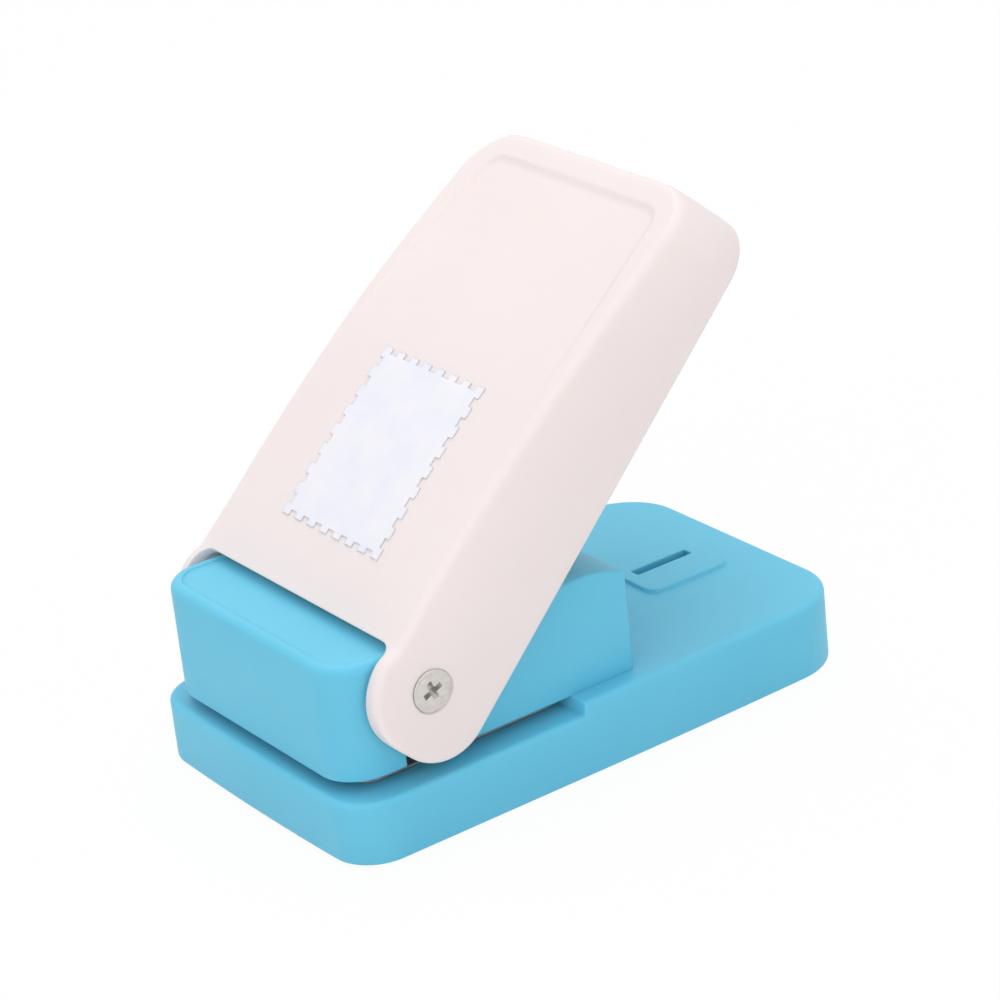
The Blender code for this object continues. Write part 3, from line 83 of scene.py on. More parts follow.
camera = bpy.data.objects.new("camera", bpy.data.cameras.new("camera"))
camera.data.lens = CAMERA_LENS
camera.data.clip_end = CAMERA_SIGHT
turn = Matrix(camera_turn(CAMERA_AZIMUTH, CAMERA_ELEVATION, CAMERA_ROLL).tolist()).to_4x4()
camera.matrix_world = Matrix.Translation(CAMERA_PLACE) @ turn
bpy.context.collection.objects.link(camera)
bpy.context.scene.camera = camera
bpy.context.scene.view_settings.view_transform = "Standard"
print("camera at", CAMERA_PLACE, "with a lens of", CAMERA_LENS, "mm")

# %% [markdown]
# Every finish is a small network of shader nodes. Written as sums and products it stays readable, so one
# class stands for a number that runs through the network, and the usual signs add the Math nodes. A second
# class is the finish itself. Its add() makes any other node: its type, its settings, then its inputs.


# %% Shader maths
class Flow:
    """A number that a socket passes on. Sums, differences and products of it add Math nodes."""

    def __init__(self, look, socket):
        self.look, self.socket = look, socket

    def math(self, operation, *values, clamp=False):
        node = self.look.add("ShaderNodeMath", {"operation": operation, "use_clamp": clamp},
                             dict(enumerate(values)))
        return Flow(self.look, node.outputs[0])

    def __add__(self, other):
        return self.math("ADD", self, other)

    def __sub__(self, other):
        return self.math("SUBTRACT", self, other)

    def __rsub__(self, other):
        return self.math("SUBTRACT", other, self)

    def __mul__(self, other):
        return self.math("MULTIPLY", self, other)

    __radd__ = __add__
    __rmul__ = __mul__

    def larger(self, other):
        return self.math("MAXIMUM", self, other)

    def within(self, low, high):
        """0 below low, 1 above high, straight between."""
        return self.math("DIVIDE", self - low, high - low, clamp=True)


class Finish:
    """A material and its nodes."""

    def __init__(self, name, holder=None):
        self.holder = holder or bpy.data.materials.new(name)
        self.holder.use_nodes = True
        self.tree = self.holder.node_tree
        self.shader = self.tree.nodes.get("Principled BSDF")

    def add(self, kind, settings=None, inputs=None):
        """A node of this type, with its settings and then the values or links of its inputs."""
        node = self.tree.nodes.new(kind)
        for key, value in (settings or {}).items():
            setattr(node, key, value)
        for key, value in (inputs or {}).items():
            self.feed(pick(node.inputs, key), value)
        return node

    def feed(self, socket, value):
        if isinstance(value, Flow):
            value = value.socket
        if isinstance(value, bpy.types.NodeSocket):
            self.tree.links.new(value, socket)
        else:
            socket.default_value = value

    def shade(self, **inputs):
        """Feed the main shader; spaces in its input names are written as underscores."""
        for key, value in inputs.items():
            self.feed(self.shader.inputs[key.replace("_", " ")], value)

    def place(self):
        """Coordinates that stay with the piece, in metres."""
        return self.add("ShaderNodeTexCoord").outputs["Object"]

    def noise(self, place, scale, detail=2.0, roughness=0.5):
        """Cloudy noise from 0 to 1, with about scale clouds in a metre."""
        node = self.add("ShaderNodeTexNoise", inputs={"Vector": place, "Scale": scale, "Detail": detail,
                                                      "Roughness": roughness})
        return Flow(self, node.outputs[0])

    def clouds(self, place, scale):
        """Soft clouds with flat tops and flat gaps."""
        return self.noise(place, scale, 3.0).within(0.3, 0.7)

    def stretched(self, place, scale, rotation=(0.0, 0.0, 0.0)):
        """Coordinates stretched by a factor along each axis."""
        return self.add("ShaderNodeMapping", inputs={"Vector": place, "Scale": scale,
                                                     "Rotation": rotation}).outputs[0]

    def mix(self, factor, first, second):
        """Colour between two colours."""
        node = self.add("ShaderNodeMix", {"data_type": "RGBA"},
                        {"Factor_Float": factor, "A_Color": first, "B_Color": second})
        return pick(node.outputs, "Result_Color")

    def relief(self, strength, depth, height, rounded):
        """Normal of a skin as deep as this, laid over the rounded normal."""
        return self.add("ShaderNodeBump", inputs={"Strength": strength, "Distance": depth,
                                                  "Height": height, "Normal": rounded}).outputs[0]


def pick(sockets, key):
    """Socket by its number, identifier or name."""
    if isinstance(key, int):
        return sockets[key]
    return next((socket for socket in sockets if socket.identifier == key), None) or sockets[key]


def screen_colour(red, green, blue):
    """Colour as a screen shows it, 0 to 255, in the linear values that a shader takes."""
    share = np.array([red, green, blue]) / 255
    linear = np.where(share <= 0.04045, share / 12.92, ((share + 0.055) / 1.055) ** 2.4)
    return (*linear.tolist(), 1.0)


WHITE = screen_colour(255, 255, 255)
print("middle grey on a screen is", round(screen_colour(128, 128, 128)[0], 3), "in linear light")

# %% [markdown]
# The photograph has a pure white ground with hardly any shadow. The sky lights the object softly but
# looks plain white to the camera and to reflections. The floor is white paper, lightened for the camera
# only, so that a faint contact shadow stays under the base.

# %% Sky and floor
SKY_LIGHT = 0.58
FLOOR_GLOW = 0.95
FLOOR_HALF = 2.0
PAPER_TONES = ((0.86, 0.86, 0.86, 1.0), (0.9, 0.9, 0.9, 1.0))


def seen_directly(look):
    """1 where the camera, a reflection or a clear body looks, 0 for light on its way."""
    path = look.add("ShaderNodeLightPath").outputs
    return Flow(look, path["Is Camera Ray"]).larger(path["Is Glossy Ray"]).larger(
        path["Is Transmission Ray"])


def make_sky():
    world = bpy.data.worlds.new("studio")
    bpy.context.scene.world = world
    look = Finish("studio", world)
    look.tree.nodes.clear()
    soft = look.add("ShaderNodeBackground", inputs={"Color": WHITE, "Strength": SKY_LIGHT})
    white = look.add("ShaderNodeBackground", inputs={"Color": WHITE, "Strength": 1.0})
    both = look.add("ShaderNodeMixShader", inputs={0: seen_directly(look), 1: soft.outputs[0],
                                                   2: white.outputs[0]})
    look.add("ShaderNodeOutputWorld", inputs={"Surface": both.outputs[0]})


def make_floor():
    half = FLOOR_HALF
    mesh = bpy.data.meshes.new("floor")
    mesh.from_pydata([(-half, -half, 0), (half, -half, 0), (half, half, 0), (-half, half, 0)], [],
                     [(0, 1, 2, 3)])
    floor = bpy.data.objects.new("floor", mesh)
    bpy.context.collection.objects.link(floor)
    look = Finish("white paper floor")
    place = look.place()
    fibre = look.noise(place, 700.0, 3.0)
    tone = look.mix(fibre, *PAPER_TONES)
    paper = look.add("ShaderNodeBsdfDiffuse", inputs={"Color": tone})
    glow = look.add("ShaderNodeEmission", inputs={"Color": WHITE, "Strength": 1.0})
    both = look.add("ShaderNodeMixShader", inputs={0: seen_directly(look) * FLOOR_GLOW,
                                                   1: paper.outputs[0], 2: glow.outputs[0]})
    look.feed(look.tree.nodes["Material Output"].inputs["Surface"], both.outputs[0])
    look.tree.nodes.remove(look.shader)
    mesh.materials.append(look.holder)


make_sky()
make_floor()
print("sky light", SKY_LIGHT, "floor glow", FLOOR_GLOW)

# %% [markdown]
# Three large soft lamps model the forms: one overhead, a broad one ahead and to the right, which also
# reaches the inside of the far ear, and a weak one at the right, so that the long sides stay a little
# darker than the top. Each row gives a lamp's place, the point it faces, its width and its power.

# %% Lamps
LIT_POINT = (0.0, 0.0, 0.03)
LAMP_UP = (0.0, 1.0, 0.2)
LAMPS = {"top_lamp": ((-0.25, 0.15, 1.1), LIT_POINT, 1.1, 6.2),
         "front_lamp": ((0.72, -0.95, 0.62), LIT_POINT, 1.3, 5.4),
         "side_lamp": ((1.1, 0.35, 0.6), LIT_POINT, 0.9, 1.5)}


def make_lamp(name, place, target, size, power):
    """Square lamp that faces a point."""
    light = bpy.data.lights.new(name, "AREA")
    light.size, light.energy = size, power
    lamp = bpy.data.objects.new(name, light)
    back = np.subtract(place, target)
    back = back / np.linalg.norm(back)
    right = np.cross(LAMP_UP, back)
    right /= np.linalg.norm(right)
    columns = np.stack([right, np.cross(back, right), back], axis=1)
    lamp.matrix_world = Matrix.Translation(place) @ Matrix(columns.tolist()).to_4x4()
    bpy.context.collection.objects.link(lamp)


for name, facts in LAMPS.items():
    make_lamp(name, *facts)
print("lamps:", ", ".join(LAMPS))

# %% [markdown]
# Surfaces are grids of points worked out as whole arrays. A closed body here is a stack of equal grids:
# the first and the last one close its ends, and a wall runs through the borders of all of them.
# Lengths are in millimetres until a mesh is made.


# %% Surfaces from arrays
def smooth(value):
    """S curve: 0 below 0, 1 above 1, and 3v^2 - 2v^3 between."""
    share = np.clip(value, 0.0, 1.0)
    return share * share * (3 - 2 * share)


def lines(low, high, step, edges=(), close=(0.0, 0.1, 0.25, 0.45, 0.75, 1.2, 1.8)):
    """Grid lines about a step apart, with closer ones on both sides of each edge."""
    even = np.linspace(low, high, int(np.ceil((high - low) / step)) + 1)
    if len(edges) == 0:
        return even
    around = np.add.outer(np.asarray(edges, float), np.concatenate([np.negative(close), close])).ravel()
    around = around[(around > low + 0.05) & (around < high - 0.05)]
    apart = np.abs(np.subtract.outer(even, around)).min(axis=1)
    even = even[(apart > step / 3) | (even == low) | (even == high)]
    return np.unique(np.round(np.concatenate([even, around]), 3))


def quads(rows, cols, wrap=False):
    """Faces of a grid whose point in row r and column c has the number r * cols + c."""
    row, col = np.meshgrid(np.arange(rows - 1), np.arange(cols if wrap else cols - 1), indexing="ij")
    after = (col + 1) % cols
    corners = [row * cols + col, row * cols + after, (row + 1) * cols + after, (row + 1) * cols + col]
    return np.stack(corners, axis=-1).reshape(-1, 4)


def rim(grid):
    """Border of a grid, once round: front row, right side, rear row, left side."""
    return np.concatenate([grid[0, :-1], grid[:-1, -1], grid[-1, :0:-1], grid[:0:-1, 0]])


def body(grids):
    """Sheets of a closed body through a stack of equal grids."""
    rows, cols = grids[0].shape[:2]
    rims = np.stack([rim(grid) for grid in grids])
    ends = [(grid.reshape(-1, 3), quads(rows, cols)) for grid in (grids[0], grids[-1])]
    return [(rims.reshape(-1, 3), quads(len(rims), rims.shape[1], True))] + ends


def capped(rings):
    """Sheets of a closed body through a row of equal rings, with a flat face on its first and last."""
    count, sides = rings.shape[:2]
    ends = [np.arange(sides), np.arange(sides) + sides * (count - 1)]
    return [(rings.reshape(-1, 3), list(quads(count, sides, True)) + ends)]


def prism(outline, low, high, axis=2):
    """Sheets of an outline carried straight along an axis."""
    flat = np.asarray(outline, float)
    return capped(np.stack([np.insert(flat, axis, height, axis=1) for height in (low, high)]))


def revolve(profile, sides, axis):
    """Ring for each radius and height of a profile, round an axis: x = r cos a, y = r sin a."""
    radius, height = np.asarray(profile, float).T
    angle = np.linspace(0, 2 * np.pi, sides, endpoint=False)
    around = np.stack([np.outer(radius, np.cos(angle)), np.outer(radius, np.sin(angle))], axis=-1)
    return np.insert(around, axis, height[:, None], axis=-1)


def turned(profile, sides, axis=2, centre=(0.0, 0.0, 0.0)):
    """Sheets of a solid turned part."""
    return capped(revolve(profile, sides, axis) + np.asarray(centre))


def rounded_box(x, y, centre, half, corner):
    """Signed distance to a rectangle with round corners, negative inside."""
    out_x = np.abs(x - centre[0]) - half[0] + corner
    out_y = np.abs(y - centre[1]) - half[1] + corner
    outside = np.hypot(np.maximum(out_x, 0), np.maximum(out_y, 0))
    return outside + np.minimum(np.maximum(out_x, out_y), 0) - corner


def arc(centre, radius, start, stop, steps=12):
    """Points on a circle, angles in degrees."""
    angle = np.radians(np.linspace(start, stop, steps + 1))
    return np.stack([centre[0] + radius * np.cos(angle), centre[1] + radius * np.sin(angle)], axis=1)


def box_outline(low_x, high_x, low_y, high_y, corner=0.01, steps=6):
    """Rectangle with round corners."""
    return np.concatenate([arc((high_x - corner, low_y + corner), corner, -90, 0, steps),
                           arc((high_x - corner, high_y - corner), corner, 0, 90, steps),
                           arc((low_x + corner, high_y - corner), corner, 90, 180, steps),
                           arc((low_x + corner, low_y + corner), corner, 180, 270, steps)])


print("a square with round corners has", len(box_outline(0, 1, 0, 1, 0.2)), "points")

# %% [markdown]
# A mesh is made in one step from the stacked sheets: points that meet are merged and the faces are turned
# outward. Openings are cut with exact Booleans, and the result is stored, so no modifier stays live.

# %% Pieces
FOOT_PROUD = 0.5
MERGE = 0.0005


def make(name, sheets):
    """One closed mesh object from sheets of points and faces."""
    points, faces, count = [], [], 0
    for sheet, corners in sheets:
        points.append(sheet)
        faces += [(np.asarray(face) + count).tolist() for face in corners]
        count += len(sheet)
    mesh = bpy.data.meshes.new(name)
    mesh.from_pydata(np.concatenate(points).tolist(), [], faces)
    work = bmesh.new()
    work.from_mesh(mesh)
    bmesh.ops.remove_doubles(work, verts=work.verts, dist=MERGE)
    bmesh.ops.recalc_face_normals(work, faces=work.faces)
    work.to_mesh(mesh)
    work.free()
    item = bpy.data.objects.new(name, mesh)
    bpy.context.collection.objects.link(item)
    return item


def combine(target, tools, operation):
    """Cut the tools out of the target, or join them to it."""
    for tool in tools:
        modifier = target.modifiers.new("cut", "BOOLEAN")
        modifier.operation, modifier.solver, modifier.object = operation, "EXACT", tool
        result = target.evaluated_get(bpy.context.evaluated_depsgraph_get())
        mesh = bpy.data.meshes.new_from_object(result)
        target.modifiers.clear()
        target.data = mesh
        bpy.data.objects.remove(tool, do_unlink=True)
    return target


def cut(target, *tools):
    return combine(target, [make("tool", tool) for tool in tools], "DIFFERENCE")


def join(target, *tools):
    return combine(target, [make("tool", tool) for tool in tools], "UNION")


def settle(item, rides, look, replaced, matrix=None, sharp=32.0):
    """Millimetres to metres at its place, smooth shading with sharp edges, finish, body and slot."""
    lift = matrix if matrix is not None else Matrix.Translation((0.0, 0.0, FOOT_PROUD))
    item.data.transform(Matrix.Scale(MM, 4) @ lift)
    item.data.name = item.name
    item.data.shade_smooth()
    item.data.set_sharp_from_angle(angle=math.radians(sharp))
    item.data.materials.clear()
    item.data.materials.append(look.holder)
    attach(item, rides)
    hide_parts(*replaced)


print("points nearer than", MERGE, "mm are merged, and pieces stand", FOOT_PROUD, "mm over the floor")

# %% [markdown]
# Moulded plastic is never one flat colour. It has slow clouds of tint from the pigment, a fine grain that
# the mould's eroded steel leaves, and small polished and dull patches. Its sharp edges are painted paler as
# a painted highlight. The edge mask compares the true normal with one that the Bevel node rounds off.


# %% Plastic finish
BEVEL_SAMPLES = 4
PLASTIC_GRAIN = 0.00001


def edge_mask(look, radius):
    """(rounded normal, mask that is 1 on a sharp edge)."""
    rounded = look.add("ShaderNodeBevel", {"samples": BEVEL_SAMPLES}, {"Radius": radius}).outputs[0]
    true = look.add("ShaderNodeNewGeometry").outputs["Normal"]
    along = look.add("ShaderNodeVectorMath", {"operation": "DOT_PRODUCT"}, {0: rounded, 1: true})
    return rounded, (1 - Flow(look, along.outputs["Value"])).within(0.01, 0.3)


def moulded(name, colour, deep, pale, roughness, glow):
    """Satin plastic: clouds between the colour and its deep tone, sharp edges painted paler as a painted
    highlight, mould grain. Light runs a millimetre or two through it, by the glow's length for red, green
    and blue."""
    look = Finish(name)
    place = look.place()
    cloud = look.clouds(place, 38.0)
    fleck = look.noise(place, 2600.0, 2.0).within(0.62, 0.8)
    patch = look.noise(place, 260.0, 4.0, 0.6)
    slanted = look.stretched(place, (1.0, 0.16, 1.0), (0.0, 0.0, 0.6))
    rub = look.noise(slanted, 1500.0, 3.0).within(0.64, 0.74)
    fine = look.noise(place, 5200.0, 3.0, 0.6)
    rounded, edge = edge_mask(look, 0.00035)
    tone = look.mix(cloud * 0.55, colour, deep)
    tone = look.mix(fleck * 0.12, tone, pale)
    # Painted highlight: sharp edges are mixed toward the pale tone.
    tone = look.mix(edge * 0.4, tone, pale)
    height = fine + patch * 0.6 - rub * 0.25
    bump = look.relief(0.5, PLASTIC_GRAIN, height, rounded)
    look.shade(Base_Color=tone, Roughness=roughness + patch * 0.12 - edge * 0.06 + rub * 0.05,
               Normal=bump, IOR=1.42, Subsurface_Weight=0.35, Subsurface_Radius=glow,
               Subsurface_Scale=MM)
    return look


blue = moulded("sky blue plastic", screen_colour(107, 200, 229), screen_colour(98, 195, 225),
               screen_colour(160, 223, 241), 0.42, (0.6, 1.6, 2.0))
pink = moulded("pale pink plastic", screen_colour(239, 229, 228), screen_colour(235, 224, 223),
               screen_colour(250, 243, 242), 0.44, (1.8, 1.3, 1.2))
print("plastic finishes:", blue.holder.name, "and", pink.holder.name)

# %% [markdown]
# Metal is seen by its reflections, so its finish is a pattern of fine lines. Ground plates have long
# straight lines, screw heads are brushed, wire is drawn, and all are a little uneven in their polish.


# %% Metal finish
WORN_METAL = (0.8, 0.8, 0.8, 1.0)
LINE_DEPTH = 0.000006


def brushed(name, colour, dark, roughness, stretch):
    """Metal with lines: noise drawn out along one axis, in polish, tone and bump."""
    look = Finish(name)
    place = look.place()
    scratch = look.noise(look.stretched(place, stretch), 900.0, 4.0, 0.65)
    cloud = look.clouds(place, 120.0)
    rounded, edge = edge_mask(look, 0.00012)
    tone = look.mix(scratch.within(0.35, 0.65) * 0.5 + cloud * 0.3, colour, dark)
    tone = look.mix(edge * 0.5, tone, WORN_METAL)
    bump = look.relief(0.6, LINE_DEPTH, scratch, rounded)
    look.shade(Base_Color=tone, Roughness=roughness + scratch * 0.16 + cloud * 0.05 - edge * 0.08,
               Metallic=1.0, Normal=bump)
    return look


ground = brushed("ground steel", screen_colour(196, 198, 202), screen_colour(150, 152, 158), 0.22,
                 (0.05, 6.0, 6.0))
screw_steel = brushed("brushed screw steel", screen_colour(222, 218, 213), screen_colour(196, 191, 186),
                      0.34, (1.0, 0.7, 1.3))
wire_steel = brushed("drawn spring wire", screen_colour(150, 150, 156), screen_colour(96, 96, 104), 0.28,
                     (4.0, 4.0, 0.4))
shaft_steel = brushed("turned shaft steel", screen_colour(186, 188, 192), screen_colour(140, 142, 148),
                      0.2, (9.0, 0.4, 0.4))
print("metal finishes:", ", ".join(look.holder.name for look in (ground, screw_steel, wire_steel,
                                                                  shaft_steel)))

# %% [markdown]
# Nylon is a milky white that darkens slightly in its clouds, and the rubber feet are dark, dull and
# powdered with fine dust in clouds and specks.


# %% Nylon and rubber
CLOUD_SIZE = 12


def speckled(name, colour, other, roughness, scale, lift):
    """Dull material with clouds, specks and a rough skin."""
    look = Finish(name)
    place = look.place()
    cloud = look.clouds(place, scale / CLOUD_SIZE)
    speck = look.noise(place, scale, 4.0, 0.7)
    rounded, edge = edge_mask(look, 0.0002)
    tone = look.mix(cloud * 0.6 + speck.within(0.6, 0.75) * 0.4, colour, other)
    bump = look.relief(0.6, lift, speck, rounded)
    look.shade(Base_Color=tone, Roughness=roughness + speck * 0.15 - edge * 0.05, Normal=bump)
    return look


nylon = speckled("natural nylon", screen_colour(234, 231, 222), screen_colour(222, 217, 204), 0.42, 900.0,
                 0.00001)
rubber = speckled("dark foot rubber", screen_colour(44, 46, 50), screen_colour(66, 68, 72), 0.74, 3000.0,
                  0.00002)
print("dull finishes:", nylon.holder.name, "and", rubber.holder.name)

# %% [markdown]
# The base is a shallow moulded box. Its plan has round corners and narrows slightly toward the rear, its
# front deck lies lower so that paper can slide in, and the rear deck carries a raised pad with a slit.
# All that shows on its top is one height over a grid, with close grid lines where the height changes fast.

# %% Base: plan and heights
BASE_FRONT, BASE_REAR, BASE_HALF = -45.5, 45.9, 27.5
BASE_CORNERS = (7.0, 10.0)
BASE_BOW, BASE_DRAW = 0.38, 0.9
BASE_ROUND = 0.9
BASE_WALL = 2.0
DECK_WALL = 2.4
FRONT_DECK, REAR_DECK = 9.8, 11.8
STEP_Y, STEP_RUN = -5.5, 0.5
PAD_CENTRE, PAD_HALF, PAD_RISE = (-0.8, 31.05), (7.7, 7.65), 0.6
PAD_CORNER, PAD_SLOPE = 1.8, 0.3
SLIT_CENTRE, SLIT_HALF, SLIT_DEEP = (-0.8, 31.1), (0.9, 5.2), 8.4
SLIT_CORNER, SLIT_EDGE = 0.25, 0.02
SLIT_ROUND, SLIT_ROUND_RUN = 0.12, 0.3
BASE_ROWS, REAR_ROWS = (-37.8, 34.6), (35.6, 39.6)
BASE_GRID, REAR_GRID, REAR_CLOSE = 1.6, 0.3, (0.0, 0.1, 0.25)
BASE_STEADY = 12.0
CORNER_STEPS = 14


def plan_rows(front, rear, half, corners, stations, inset):
    """(y, half width) of each row of a plan with round corners, moved inward by the inset, which is one
    number or one each for the front, the stations and the rear. On a corner, y = centre - r cos a and
    half width = flat + r sin a, with r = corner - inset."""
    ahead, beside, behind = inset if isinstance(inset, tuple) else (inset, inset, inset)
    angle = np.radians(np.linspace(0, 90, CORNER_STEPS + 1))
    near_corner, far_corner = max(corners[0], ahead + 0.02), max(corners[1], behind + 0.02)
    near, far = near_corner - ahead, far_corner - behind
    y = np.concatenate([front + near_corner - near * np.cos(angle), stations,
                        rear - far_corner + far * np.sin(angle)])
    wide = np.concatenate([half - near_corner + near * np.sin(angle), half - beside + 0 * stations,
                           half - far_corner + far * np.cos(angle)])
    return y, wide


def spread(cols, wide, steady):
    """x of each column in each row: columns nearer the middle than steady stay, the others stretch to
    reach the row's half width."""
    outer = np.abs(cols)[None]
    reach = steady + (outer - steady) * (wide[:, None] - steady) / (outer.max() - steady)
    return np.sign(cols)[None] * np.where(outer <= steady, outer, reach)


def plain_plan(front, rear, half, corners, stations, step, steady, inset):
    """x and y over a plan with round corners, in columns about a step apart."""
    y, wide = plan_rows(front, rear, half, corners, stations, inset)
    x = spread(lines(-half, half, step), wide, steady)
    return x, np.broadcast_to(y[:, None], x.shape)


def base_plan(inset):
    """x and y over the base's plan, bowed out at the front and drawn in a little toward the rear."""
    pad_ends = [PAD_CENTRE[1] - PAD_HALF[1], SLIT_CENTRE[1] - SLIT_HALF[1],
                SLIT_CENTRE[1] + SLIT_HALF[1]]
    stations = lines(*BASE_ROWS, BASE_GRID, [STEP_Y, STEP_Y + STEP_RUN] + pad_ends[:2])
    y, wide = plan_rows(BASE_FRONT, BASE_REAR, BASE_HALF, BASE_CORNERS, stations, inset)
    extra = lines(*REAR_ROWS, REAR_GRID, [pad_ends[2], PAD_CENTRE[1] + PAD_HALF[1]], REAR_CLOSE)
    extra_wide = np.interp(extra, y, wide)
    order = np.argsort(np.concatenate([y, extra]), kind="stable")
    y, wide = np.concatenate([y, extra])[order], np.concatenate([wide, extra_wide])[order]
    sides = [PAD_CENTRE[0] + sign * half for half in (PAD_HALF[0], SLIT_HALF[0]) for sign in (-1, 1)]
    cols = lines(-BASE_HALF, BASE_HALF, BASE_GRID, sides)
    x = spread(cols, wide, BASE_STEADY)
    flat = BASE_HALF - BASE_CORNERS[0]
    ahead = np.clip((BASE_FRONT + BASE_CORNERS[0] - y) / BASE_CORNERS[0], 0, 1)[:, None] ** 2
    y = y[:, None] - BASE_BOW * np.clip(1 - (x / flat) ** 2, 0, 1) * ahead
    return x * (1 - BASE_DRAW / BASE_HALF * np.clip(y / BASE_REAR, 0, 1) ** 2), y


def deck(y):
    """Front deck's height, and a short step up to the rear deck."""
    return FRONT_DECK + (REAR_DECK - FRONT_DECK) * smooth((y - STEP_Y) / STEP_RUN)


def base_top(x, y):
    """Deck with the pad raised on it and the slit sunk through the pad, both with soft rims."""
    pad = rounded_box(x, y, PAD_CENTRE, PAD_HALF, PAD_CORNER)
    slit = rounded_box(x, y, SLIT_CENTRE, SLIT_HALF, SLIT_CORNER)
    rim_round = SLIT_ROUND * np.clip(1 - slit / SLIT_ROUND_RUN, 0, 1) ** 2
    sunk = np.where(slit < SLIT_EDGE, SLIT_DEEP, 0.0)
    return deck(y) + PAD_RISE * smooth(-pad / PAD_SLOPE) - rim_round - sunk


print("base:", round(BASE_REAR - BASE_FRONT, 2), "mm long and", 2 * BASE_HALF, "mm wide")


# %% [markdown]
# The body is the stack of plans from the foot up round the top edge. The inside is a second, smaller stack
# that is cut out, together with the pocket for the die and the window that the stamps fall through.


# %% Base: body
BASE_FOOT = ((0.4, 0.0), (0.12, 0.12), (0.0, 0.4))
UNDER_ROUND = 0.2
OVERRUN = 1.0
POCKET, POCKET_CORNER, POCKET_HEIGHTS = (-21.6, 21.6, -40.1, STEP_Y), 3.0, (8.5, 11.0)
WINDOW, WINDOW_CORNER = (-14.0, 14.0, -38.1, -6.9), 1.5


def quarter(radius, steps=7):
    """(inset, depth) along a quarter round from the side up to the top."""
    angle = np.radians(np.linspace(0, 90, steps + 1))
    return zip(radius * (1 - np.cos(angle)), radius * (1 - np.sin(angle)))


def level(plan, height):
    """Grid of points over a plan at a height, which may vary."""
    x, y = plan
    return np.stack([x, y, np.broadcast_to(height, x.shape)], axis=-1)


def base_sheets():
    """From the small round at the foot up to just under the top round, then over that to the deck."""
    grids = [level(base_plan(inset), height) for inset, height in BASE_FOOT]
    grids.append(level(base_plan(0.0), FRONT_DECK - BASE_ROUND - UNDER_ROUND))
    for inset, depth in quarter(BASE_ROUND):
        x, y = base_plan(inset)
        grids.append(level((x, y), deck(y) - depth))
    x, y = base_plan(BASE_ROUND)
    grids[-1] = level((x, y), base_top(x, y))
    return body(grids)


def base_inside():
    x, y = base_plan(BASE_WALL)
    return body([level((x, y), -OVERRUN), level((x, y), deck(y) - DECK_WALL)])


base = make("moulded_base", base_sheets())
cut(base, base_inside(),
    prism(box_outline(*POCKET, POCKET_CORNER), *POCKET_HEIGHTS),
    prism(box_outline(*WINDOW, WINDOW_CORNER), 0.0, REAR_DECK))
settle(base, "base", blue, ["base_shell"])
print("base:", len(base.data.polygons), "faces")

# %% [markdown]
# The die is a hardened plate let into the front deck. Its edges are ground to a fine chamfer, and its
# opening has the stamp's outline with a little play, cut square.

# %% Die plate
HOLE_SIDES = 32
STAMP_HALF = (12.0, 13.6)
NOTCHES = (7, 8)
NOTCH_WIDE, NOTCH_DEEP = 1.5, 0.9
STAMP_Y = -22.5
DIE_FRONT, DIE_REAR, DIE_HALF, DIE_CORNERS = -40.0, -5.6, 21.5, (2.9, 0.5)
DIE_EDGE = ((0.15, 8.8), (0.0, 8.95), (0.0, 10.05), (0.25, 10.3))
DIE_ROWS, DIE_GRID = (-36.0, -8.0), 4.0
DIE_PLAY, DIE_CUT = 0.3, (8.0, 11.0)
DIE_SCREWS = [(x, y) for x in (-18.4, 18.4) for y in (-36.1, -10.2)]
DIE_BORE = [(1.0, 8.0), (1.0, 9.4), (1.95, 10.32), (1.95, 11.0)]


def stamp_outline(play):
    """Outline of the stamp, side by side. Along a side of half length h the notch middles are
    h ((2i + 1) / count - 1)."""
    corners = []
    for turn in range(4):
        along, across = (STAMP_HALF, STAMP_HALF[::-1])[turn % 2]
        count, wide, deep = NOTCHES[turn % 2], NOTCH_WIDE / 2 - play, NOTCH_DEEP
        middle = along * ((2 * np.arange(count) + 1) / count - 1)
        place = np.stack([middle - wide, middle - wide, middle + wide, middle + wide], axis=1).ravel()
        depth = np.tile([0.0, deep, deep, 0.0], count) - across - play
        place, depth = np.append(place, along + play), np.append(depth, -across - play)
        spin = math.radians(90 * turn)
        corners.append(np.stack([place * math.cos(spin) - depth * math.sin(spin),
                                 place * math.sin(spin) + depth * math.cos(spin) + STAMP_Y], axis=1))
    return np.concatenate(corners)


def die_sheets():
    """Stack of plans with round front corners, through a chamfer at both faces."""
    stations = lines(*DIE_ROWS, DIE_GRID)
    return body([level(plain_plan(DIE_FRONT, DIE_REAR, DIE_HALF, DIE_CORNERS, stations, DIE_GRID, DIE_GRID,
                                  inset), height) for inset, height in DIE_EDGE])


def holes(profile, places, sides=HOLE_SIDES):
    """Turned tools with the same profile at several places."""
    return [turned(profile, sides, centre=(x, y, 0.0)) for x, y in places]


die = make("ground_die_plate", die_sheets())
cut(die, prism(stamp_outline(DIE_PLAY), *DIE_CUT), *holes(DIE_BORE, DIE_SCREWS))
settle(die, "base", ground, ["die_plate"])
print("die plate:", len(die.data.polygons), "faces")

# %% [markdown]
# A plate closes the base from below. It has the window with a short chute for the falling stamps, round
# recesses for the rubber feet and counterbores for the four screws.

# %% Cover under the base
FEET = [(x, y) for x in (-18.6, 18.6) for y in (-34.9, 35.3)]
COVER_SCREWS = [(x, y) for x in (-20.6, 20.6) for y in (-23.2, 26.0)]
COVER_EDGE = ((2.45, 0.0), (2.3, 0.15), (2.3, 1.85), (2.45, 2.0))
CHUTE_HEIGHTS = (1.4, 6.9)
CHUTE_HOLE, CHUTE_CUT = (-12.8, 12.8, -36.9, -8.1), (-1.0, 8.0)
FOOT_RECESS, RECESS_SIDES = [(4.8, -1.0), (4.8, 1.1)], 48
COVER_BORE = [(2.1, -1.0), (2.1, 1.2), (1.2, 1.2), (1.2, 3.0)]

